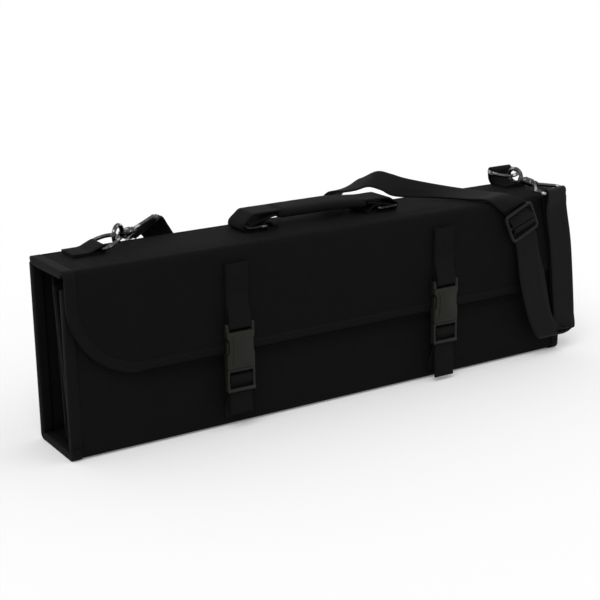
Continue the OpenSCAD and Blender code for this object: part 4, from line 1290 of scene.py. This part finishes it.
class CASE_OT_chapes(bpy.types.Operator):
    """Makes the sewn straps that hold the two D rings"""

    bl_idname = "case.chapes"
    bl_label = "Ring holders"

    def execute(self, context):
        r = RING_WIRE + WEB_T / 2 + 0.3
        low = CASE_H + WEB_T / 2
        half = STRAP_W / 2 - 1
        x, z = RING_L.x, RING_L.z
        line = [(x - 24, low - 0.3), (x - 12, low - 0.3), (x - 4, low)]
        line += on_circle(x, z, r, range(-80, 81, 32))
        line += [(x - 5, low + WEB_T + 1.6), (x - 10, low + WEB_T - 0.4), (x - 16, low + 0.9), (x - 24, low + 0.9)]
        left = even_strip([vec(a, RING_L.y, b) for a, b in line], vec(0, half, 0), WEB_T * 0.75, 4)
        fixed(web_piece(left, "ring_holder_left"), "lid", "chape_left")
        y, z = RING_RT.y, RING_RT.z
        line = [(y - 22, low), (y - 12, low), (y - 4, low), (y, low + 2), (y + r - 0.4, z - 6)]
        line += on_circle(y, z, r, range(0, 181, 30))
        line += [(y - r + 0.6, z - 6), (y - 4, low + 4), (y - 8, low + WEB_T + 0.3), (y - 14, low + WEB_T + 0.1),
                 (y - 22, low + WEB_T + 0.1)]
        right = even_strip([vec(RING_RT.x, a, b) for a, b in line], vec(half, 0, 0), WEB_T, 4)
        fixed(web_piece(right, "ring_holder_right"), "lid", "chape_right")
        return {"FINISHED"}


# Shoulder strap


def strap_keys(rows):
    """A place and half the strap's width at each key, as vectors.

    A row holds the place's three numbers, then half the width's: along X as a share of the strap's width,
    and along Y and Z in millimetres.
    """
    return [(vec(*row[:3]), vec(STRAP_W * row[3], *row[4:])) for row in rows]


def in_slide(*places):
    """Rows where the strap is level with the slide, from its depth and its height along it."""
    lean = math.radians(SLIDE_LEAN)
    return [(*(SLIDER_AT + vec(-h * math.sin(lean), y, h * math.cos(lean))), 0.47, 0, 4.2) for y, h in places]


def back_keys():
    """The strap from the left hook down behind the case, up again, over the lid and down to the slide."""
    crease_z = CASE_H * 0.27
    rest_z = CASE_H - 30
    near = FACE + STRAP_T / 2 + 0.15
    far = near + STRAP_T + 3.4
    flat = (0.6, 0, 0)
    rest_x = EYE_L.x + 30
    edge_x = FOOT_X - 42
    crease_x = rest_x + 0.42 * (edge_x - rest_x)
    start = EYE_L + AIM_L * 10.2
    tip = SLIDER_AT.x
    back = [(start, BAR_L * STRAP_W / 2)] + strap_keys([
        (*(start + vec(3.4, 1.6, -2)), 0.28, -6, 7.6),
        (*(start + vec(7, 1.6, -8)), 0.36, -4, 5.5),
        (*(start + vec(12, -3, -18)), 0.48, -1.5, 2),
        (rest_x, near + 4, rest_z, *flat),
        ((rest_x * 3 + crease_x) / 4, near + 1, (crease_z + 3 * rest_z) / 4, *flat),
        ((rest_x + crease_x) / 2, near + 0.1, (crease_z + rest_z) / 2, *flat),
        (crease_x - 4, near + 0.1, crease_z + 5, *flat),
        (crease_x - 0.6, near + 1, crease_z + 1, *flat),
        (crease_x + 0.6, (near + far) / 2, crease_z, *flat),
        (crease_x + 2, far - 1, crease_z + 1, *flat),
        (crease_x + 5, far, crease_z + 5, *flat),
        ((edge_x + crease_x) / 2 + 2, far + 0.4, (crease_z + CASE_H) / 2, *flat),
        (edge_x, far + 1.6, CASE_H - 2, 0.54, 1, 1)])
    over = strap_keys([
        (edge_x + 3, far + 1.8, CASE_H + 3.5, 0.52, 2.5, 1.2),
        (edge_x + 10, far - 1.2, CASE_H + 12, 0.46, 4.7, -1.7),
        (edge_x + 21.7, HALF_D, CASE_H + 16, 0.41, 6.1, 2.4),
        (edge_x + 30.3, HALF_D - 2.5, CASE_H + 17.9, 0.36, 6.2, 3.6),
        (edge_x + 40.7, HALF_D - 7, CASE_H + 21.4, 0.34, 4.7, 5.0),
        (edge_x + 49.3, HALF_D - 14, CASE_H + 18.9, 0.32, 3.9, 5.5),
        (edge_x + 59.6, HALF_D - 23, CASE_H + 14.3, 0.34, 3.0, 6.2),
        (tip - 54, -2, CASE_H + 7, 0.46, 3.6, 2.6),
        (tip - 31, 11 - HALF_D, CASE_H + 4.2, 0.48, 1.3, 1.6),
        (tip - 21, -HALF_D - 1, CASE_H + 3.6, 0.48, 0.5, 1.2),
        (tip - 11, -HALF_D - 9, CASE_H - 3, 0.47, -1.6, 3.6),
        *in_slide((3, 13.8), (2.6, 10), (0, 6.3), (-2.7, 2.6), (-2.8, 0.5))])
    return back, over


def hanging_keys():
    """The loop that hangs from the slide, up through the right hook and down again inside itself."""
    near = FLAP_TAPE_OUT
    h = HALF_L
    low = CASE_H * 0.1225
    inner = CASE_H * 0.15
    flat = (0.5, 0, 0)
    round_eye = (0.49, STRAP_W * 0.08, 0)
    hang_x = (EYE_R.x + h - 15) / 2
    eye_foot = EYE_R.z - 18
    slope = WRAP_R * 0.7
    return strap_keys([
        *in_slide((-2.8, -0.5), (-2.7, -2.6), (0, -6.3), (2.6, -10), (2.7, -13.8)),
        (*(SLIDER_AT + vec(8, 1.6, -21)), 0.47, 0, 4.1),
        (h - 47, near - 7, 76, 0.48, 0, 3.2),
        (h - 37, near - 8, 42, 0.49, 0, 2.2),
        (h - 28, near - 8.6, low + 5, *flat),
        (h - 22, near - 7.2, low + 1, *flat),
        (h - 12, near - 4.6, low, *flat),
        (h - 3, near - 2.2, low + 1, *flat),
        (h + 0.5, near - 1.7, low + 5, *flat),
        (h - 4.5, near - 1.4, 50, 0.5, 0, 0.6),
        (h - 10.5, near - 1.4, 100, 0.5, 0, 1),
        (hang_x, near - 1.5, eye_foot, 0.5, 0.4, 1),
        (*(EYE_R + vec(0, WRAP_R, -4)), *round_eye[:2], 0.4),
        (*(EYE_R + vec(0, WRAP_R, 0)), *round_eye),
        (*(EYE_R + vec(0, slope, slope)), *round_eye),
        (*(EYE_R + vec(0, 0, WRAP_R)), *round_eye),
        (*(EYE_R + vec(0, -slope, slope)), *round_eye),
        (*(EYE_R + vec(0, -WRAP_R, 0)), *round_eye),
        (*(EYE_R + vec(0, -WRAP_R, -4)), *round_eye[:2], 0.4),
        (hang_x, near - 4.6, eye_foot, 0.5, 0.4, 1),
        (h - 10.5, near - 3.6, 100, 0.5, 0, 1),
        (h - 4.5, near - 3.4, 50, 0.5, 0, 0.6),
        (h - 3, near - 3.5, inner + 5, *flat),
        (h - 7, near - 3.9, inner + 0.8, *flat),
        (h - 11, near - 4.8, inner, *flat),
        (h - 14, near - 5.8, inner + 0.8, *flat),
        (h - 25, near - 6.5, inner + 5, *flat),
        (h - 34, near - 6, 42, 0.49, 0, 2.2),
        (h - 42, near - 5, 76, 0.48, 0, 3.2),
        (*(SLIDER_AT + vec(8, 4, -21)), 0.47, 0, 4.1),
        *in_slide((4.9, -13.8), (4.7, -10), (3.4, -5), (2.8, 0))])


def strap_piece(skin, name):
    return skin.piece(name, "strap", "strap", WEB_SHARP)


class CASE_OT_shoulder_strap(bpy.types.Operator):
    """Makes the shoulder strap from the left hook behind the case, over the lid and down to its loop"""

    bl_idname = "case.shoulder_strap"
    bl_label = "Shoulder strap"

    def execute(self, context):
        steps, columns, crown = 6, 8, 0.15
        back, over = back_keys()
        path, sides = (spline(keys, steps) for keys in zip(*(back + over)))
        cut = (len(back) + 6) * steps
        rear = flat_strip(path[:cut + 1], sides[:cut + 1], STRAP_T, columns, crown)
        piece = strap_piece(rear, "shoulder_strap_rear")
        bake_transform(piece)
        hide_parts("strap_back")
        ahead = flat_strip(path[cut:], sides[cut:], STRAP_T, columns, crown, lengths(path)[cut])
        piece = strap_piece(ahead, "shoulder_strap_over")
        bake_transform(piece)
        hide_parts("strap_top")
        path, sides = (spline(keys, steps) for keys in zip(*hanging_keys()))
        piece = strap_piece(flat_strip(path, sides, STRAP_T, columns, crown), "shoulder_strap_loop")
        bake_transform(piece)
        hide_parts("strap_loop", "strap_return")

        line = [(9, 0.85), (7, 0.85), (4, 1.6)]
        line += on_circle(0, 0, RING_WIRE + STRAP_T / 2 + 0.05, range(70, 291, 20))
        line += [(4, -1.6), (7, -0.85), (9, -0.85)]
        end = even_strip([vec(HOOK_L + a, b, 0) for a, b in line], vec(0, 0, STRAP_W / 2), STRAP_T, 3, columns)
        end.moved(aim(JAW_L, EYE_L, EYE_L_ROLL))
        fixed(strap_piece(end, "strap_sewn_end"), "eye_left", "strap_end_left")
        return {"FINISHED"}


class CASE_OT_slide(bpy.types.Operator):
    """Makes the slide that sets the strap's length"""

    bl_idname = "case.slide"
    bl_label = "Slide"

    def execute(self, context):
        half = STRAP_W / 2 + 2
        skin = round_bar(wire_loop_path(half, 12, 3), SLIDE_BAR, 14, closed=True)
        skin.join(round_bar([vec(-half + half * i / 3, 0, 0) for i in range(7)], SLIDE_BAR, 14))
        skin.moved(Matrix.Translation(SLIDER_AT) @ turn(-SLIDE_LEAN, "Y") @ turn(90, "X"))
        fixed(skin.piece("strap_slide", "slide", "slide"), "slide", "slider")
        return {"FINISHED"}


class CASE_OT_boards(bpy.types.Operator):
    """Gives the stiff boards inside the panels their finish"""

    bl_idname = "case.boards"
    bl_label = "Boards"

    def execute(self, context):
        for name in ("bottom_board", "back_board", "front_board", "top_board", "flap_board"):
            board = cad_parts[name]
            board.data.materials.clear()
            board.data.materials.append(finish("board"))
        return {"FINISHED"}


# Stitching


def stitch_tree():
    """Geometry nodes that lay one thread stitch after another along every edge line of a mesh."""
    tree = bpy.data.node_groups.new("Stitch row", "GeometryNodeTree")
    for name, way, kind in (("Geometry", "INPUT", "Geometry"), ("Pitch", "INPUT", "Float"),
                            ("Length", "INPUT", "Float"), ("Thread", "INPUT", "Float"),
                            ("Material", "INPUT", "Material"), ("Geometry", "OUTPUT", "Geometry")):
        tree.interface.new_socket(name, in_out=way, socket_type="NodeSocket" + kind)
    g = Nodes(tree)
    given = g.add("NodeGroupInput", output="Geometry")
    thread = given.beside("Thread")
    curve = g.add("GeometryNodeMeshToCurve", {"Mesh": given})
    spaced = g.add("GeometryNodeResampleCurve", {"Curve": curve, "Length": given.beside("Pitch")}, mode="LENGTH")
    ball = g.add("GeometryNodeMeshUVSphere", {"Segments": 6, "Rings": 4, "Radius": 0.5})
    way = g.add("FunctionNodeAlignRotationToVector", {"Vector": g.add("GeometryNodeInputTangent")}, axis="X")
    size = g.add("ShaderNodeCombineXYZ", {"X": given.beside("Length"), "Y": thread, "Z": thread})
    rows = g.add("GeometryNodeInstanceOnPoints", {"Points": spaced, "Instance": ball, "Rotation": way, "Scale": size})
    real = g.add("GeometryNodeRealizeInstances", {"Geometry": rows})
    sewn = g.add("GeometryNodeSetMaterial", {"Geometry": real, "Material": given.beside("Material")})
    g.add("NodeGroupOutput", {"Geometry": sewn})
    return tree


def sewn_rows(tree, name, lines):
    """One mesh of stitches along lines of points in millimetres."""
    points, edges = [], []
    for line in lines:
        first = len(points)
        points += [tuple(p * MM) for p in line]
        edges += [(first + i, first + i + 1) for i in range(len(line) - 1)]
    mesh = bpy.data.meshes.new(name)
    mesh.from_pydata(points, edges, [])
    obj = new_object(name, mesh)
    sizes = bpy.context.scene.case_sizes
    rows = obj.modifiers.new("Stitches", "NODES")
    rows.node_group = tree
    values = {"Pitch": sizes.stitch * 1.3, "Length": sizes.stitch, "Thread": sizes.thread,
              "Material": finish("thread")}
    for item in tree.interface.items_tree:
        if item.in_out == "INPUT" and item.name in values:
            rows[item.identifier] = values[item.name]
    settle(obj)
    obj.data.shade_smooth()
    if not obj.data.materials:
        obj.data.materials.append(finish("thread"))
    return obj


def box_stitch(corner, u, v, width, height):
    """A square of stitches with its two diagonals."""
    a, b = corner, corner + u * width
    c, d = b + v * height, corner + v * height
    return [line_of(points, 2.6) for points in ([a, b, c, d, a], [a, c], [b, d])]


class CASE_OT_stitching(bpy.types.Operator):
    """Sews the tapes, panels and straps with rows of stitches"""

    bl_idname = "case.stitching"
    bl_label = "Stitching"

    def execute(self, context):
        tree = stitch_tree()
        for name, body, lines in (("flap_stitches", "flap", self.on_flap()),
                                  ("case_stitches", "case", self.on_case()),
                                  ("lid_stitches", "lid", self.on_lid())):
            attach(sewn_rows(tree, name, lines), body)
        return {"FINISHED"}

    def on_flap(self):
        y = FLAP_TAPE_OUT - 0.05
        cx, cz = FLAP_HALF - FLAP_R, FLAP_LOW + FLAP_R
        edge = FLAP_HALF - FLAP_SEAM
        half = [vec(edge, y, 136), vec(edge, y, cz)]
        half += [vec(cx + c, y, cz - s) for c, s in on_circle(0, 0, FLAP_R - FLAP_SEAM, range(5, 86, 5))]
        half.append(vec(cx, y, FLAP_LOW + FLAP_SEAM))
        lines = [line_of([vec(-p.x, p.y, p.z) for p in half] + half[::-1], 6)]
        for x in (-BUCKLE_X, BUCKLE_X):
            front = FLAP_OUT - WEB_T * 2 - 0.15
            lines += box_stitch(vec(x - 8, front, 112), vec(1, 0, 0), vec(0, 0, 1), 16, 18)
        return lines

    def on_case(self):
        x, y = HALF_L - CASE_SEAM, FACE + TAPE_T + 0.05
        runs = [[vec(-x, -y, 8), vec(-x, -y, FRONT_H - 6.8), vec(x, -y, FRONT_H - 6.8), vec(x, -y, 8)]]
        runs += [[vec(side * x, y, 8), vec(side * x, y, INNER_TOP - 2)] for side in (-1, 1)]
        runs += [[vec(10 - HALF_L, y, 9), vec(HALF_L - 10, y, 9)] for y in (-FACE - 0.12, FACE + 0.12)]
        return [line_of(run, 12) for run in runs]

    def on_lid(self):
        top, web = CASE_H + 0.1, CASE_H + 3.35
        lines = [line_of([vec(-184, y, top), vec(200, y, top)], 12) for y in (HALF_D - 6, -24.5)]
        across, ahead = vec(1, 0, 0), vec(0, 1, 0)
        for s in (-1, 1):
            x = FOOT_X - LOOP_W - 10
            lines += box_stitch(vec(s * x, HANDLE_Y - 10, web), across * s, ahead, 4.5, 20)
        lines += box_stitch(vec(RING_L.x - 23, RING_L.y - 9, CASE_H + 2.3), across, ahead, 6, 18)
        lines += box_stitch(vec(RING_RT.x - 9, RING_RT.y - 21, web), across, ahead, 18, 10)
        return lines


# Stage


class CASE_OT_stage(bpy.types.Operator):
    """Sets the pale floor, the soft light and the camera"""

    bl_idname = "case.stage"
    bl_label = "Stage"

    def execute(self, context):
        scene = context.scene
        scene.view_settings.view_transform = "Standard"
        self.camera(scene)
        self.floor(scene)
        self.world(scene)
        for name, angles, strength, spread in (("Key", (38, 0, -42), 1.05, 40), ("Fill", (52, 0, 64), 0.35, 70)):
            lamp = bpy.data.lights.new(name, "SUN")
            lamp.energy = strength
            lamp.angle = math.radians(spread)
            new_object(name, lamp).rotation_euler = [math.radians(a) for a in angles]
        return {"FINISHED"}

    def camera(self, scene):
        """The camera solved from the case's corners, with its focal length in pixels of the picture."""
        yaw, pitch, roll = (math.radians(a) for a in (32.141, -16.506, -0.75))
        sensor, focal, picture = 36, 1389.9, 600
        fwd = vec(math.sin(yaw) * math.cos(pitch), math.cos(yaw) * math.cos(pitch), math.sin(pitch))
        right = vec(math.cos(yaw), -math.sin(yaw), 0)
        up = right.cross(fwd)
        x = right * math.cos(roll) + up * math.sin(roll)
        y = up * math.cos(roll) - right * math.sin(roll)
        data = bpy.data.cameras.new("Camera")
        data.sensor_width = sensor
        data.lens = sensor * focal / picture
        data.clip_end = 100
        scene.camera = new_object("Camera", data)
        matrix = Matrix((x, y, -fwd)).transposed().to_4x4()
        matrix.translation = vec(-603.2, -929.0, 407.0) * MM
        scene.camera.matrix_world = matrix

    def floor(self, scene):
        mesh = bpy.data.meshes.new("floor")
        reach = 30.0
        mesh.from_pydata([(x * reach, y * reach, 0) for x, y in ((-1, -1), (1, -1), (1, 1), (-1, 1))], [],
                         [(0, 1, 2, 3)])
        f = Finish("Pale floor")
        seen = f.add("ShaderNodeLightPath", output="Is Camera Ray")
        glow = f.blend(seen, (0.0, 0.0, 0.0), (0.12, 0.12, 0.12))
        mesh.materials.append(f.close(tuple(scene.case_colours.floor), 0.9, specular=0.0, glow=glow))
        new_object("floor", mesh)

    def world(self, scene):
        """White where it is seen, straight or in a reflection, and softer as a light."""
        scene.world = bpy.data.worlds.new("Studio")
        scene.world.use_nodes = True
        w = Nodes(scene.world.node_tree)
        seen = w.add("ShaderNodeLightPath", output="Is Camera Ray")
        for ray in ("Is Transmission Ray", "Is Glossy Ray"):
            other = w.add("ShaderNodeLightPath", output=ray)
            seen = seen.math("MAXIMUM", other)
        light, white = (w.add("ShaderNodeBackground", {"Color": (1, 1, 1), "Strength": s}) for s in (0.62, 1.0))
        mix = w.add("ShaderNodeMixShader", {0: seen, 1: light, 2: white})
        w.add("ShaderNodeOutputWorld", {"Surface": mix})


OPERATORS = (
    CASE_OT_stage, CASE_OT_boards, CASE_OT_cover, CASE_OT_tapes, CASE_OT_leaves, CASE_OT_lid, CASE_OT_flap_tape,
    CASE_OT_buckles, CASE_OT_buckle_straps, CASE_OT_handle, CASE_OT_chapes, CASE_OT_metal,
    CASE_OT_shoulder_strap, CASE_OT_slide, CASE_OT_stitching)


class CASE_PT_panel(bpy.types.Panel):
    """Lists the steps that build the case"""

    bl_idname = "CASE_PT_panel"
    bl_label = "Knife case"
    bl_space_type = "VIEW_3D"
    bl_region_type = "UI"
    bl_category = "Knife case"

    def draw(self, context):
        layout = self.layout
        for group in (context.scene.case_colours, context.scene.case_sizes):
            for key in group.__annotations__:
                layout.prop(group, key)
        for operator in OPERATORS:
            layout.operator(operator.bl_idname)


CLASSES = (CaseColours, CaseSizes, *OPERATORS, CASE_PT_panel)


def register():
    for cls in CLASSES:
        bpy.utils.register_class(cls)
    bpy.types.Scene.case_colours = bpy.props.PointerProperty(type=CaseColours)
    bpy.types.Scene.case_sizes = bpy.props.PointerProperty(type=CaseSizes)


def unregister():
    del bpy.types.Scene.case_sizes
    del bpy.types.Scene.case_colours
    for cls in reversed(CLASSES):
        bpy.utils.unregister_class(cls)


def main():
    register()
    for operator in OPERATORS:
        group, name = operator.bl_idname.split(".")
        getattr(getattr(bpy.ops, group), name)()


if __name__ == "__main__":
    main()
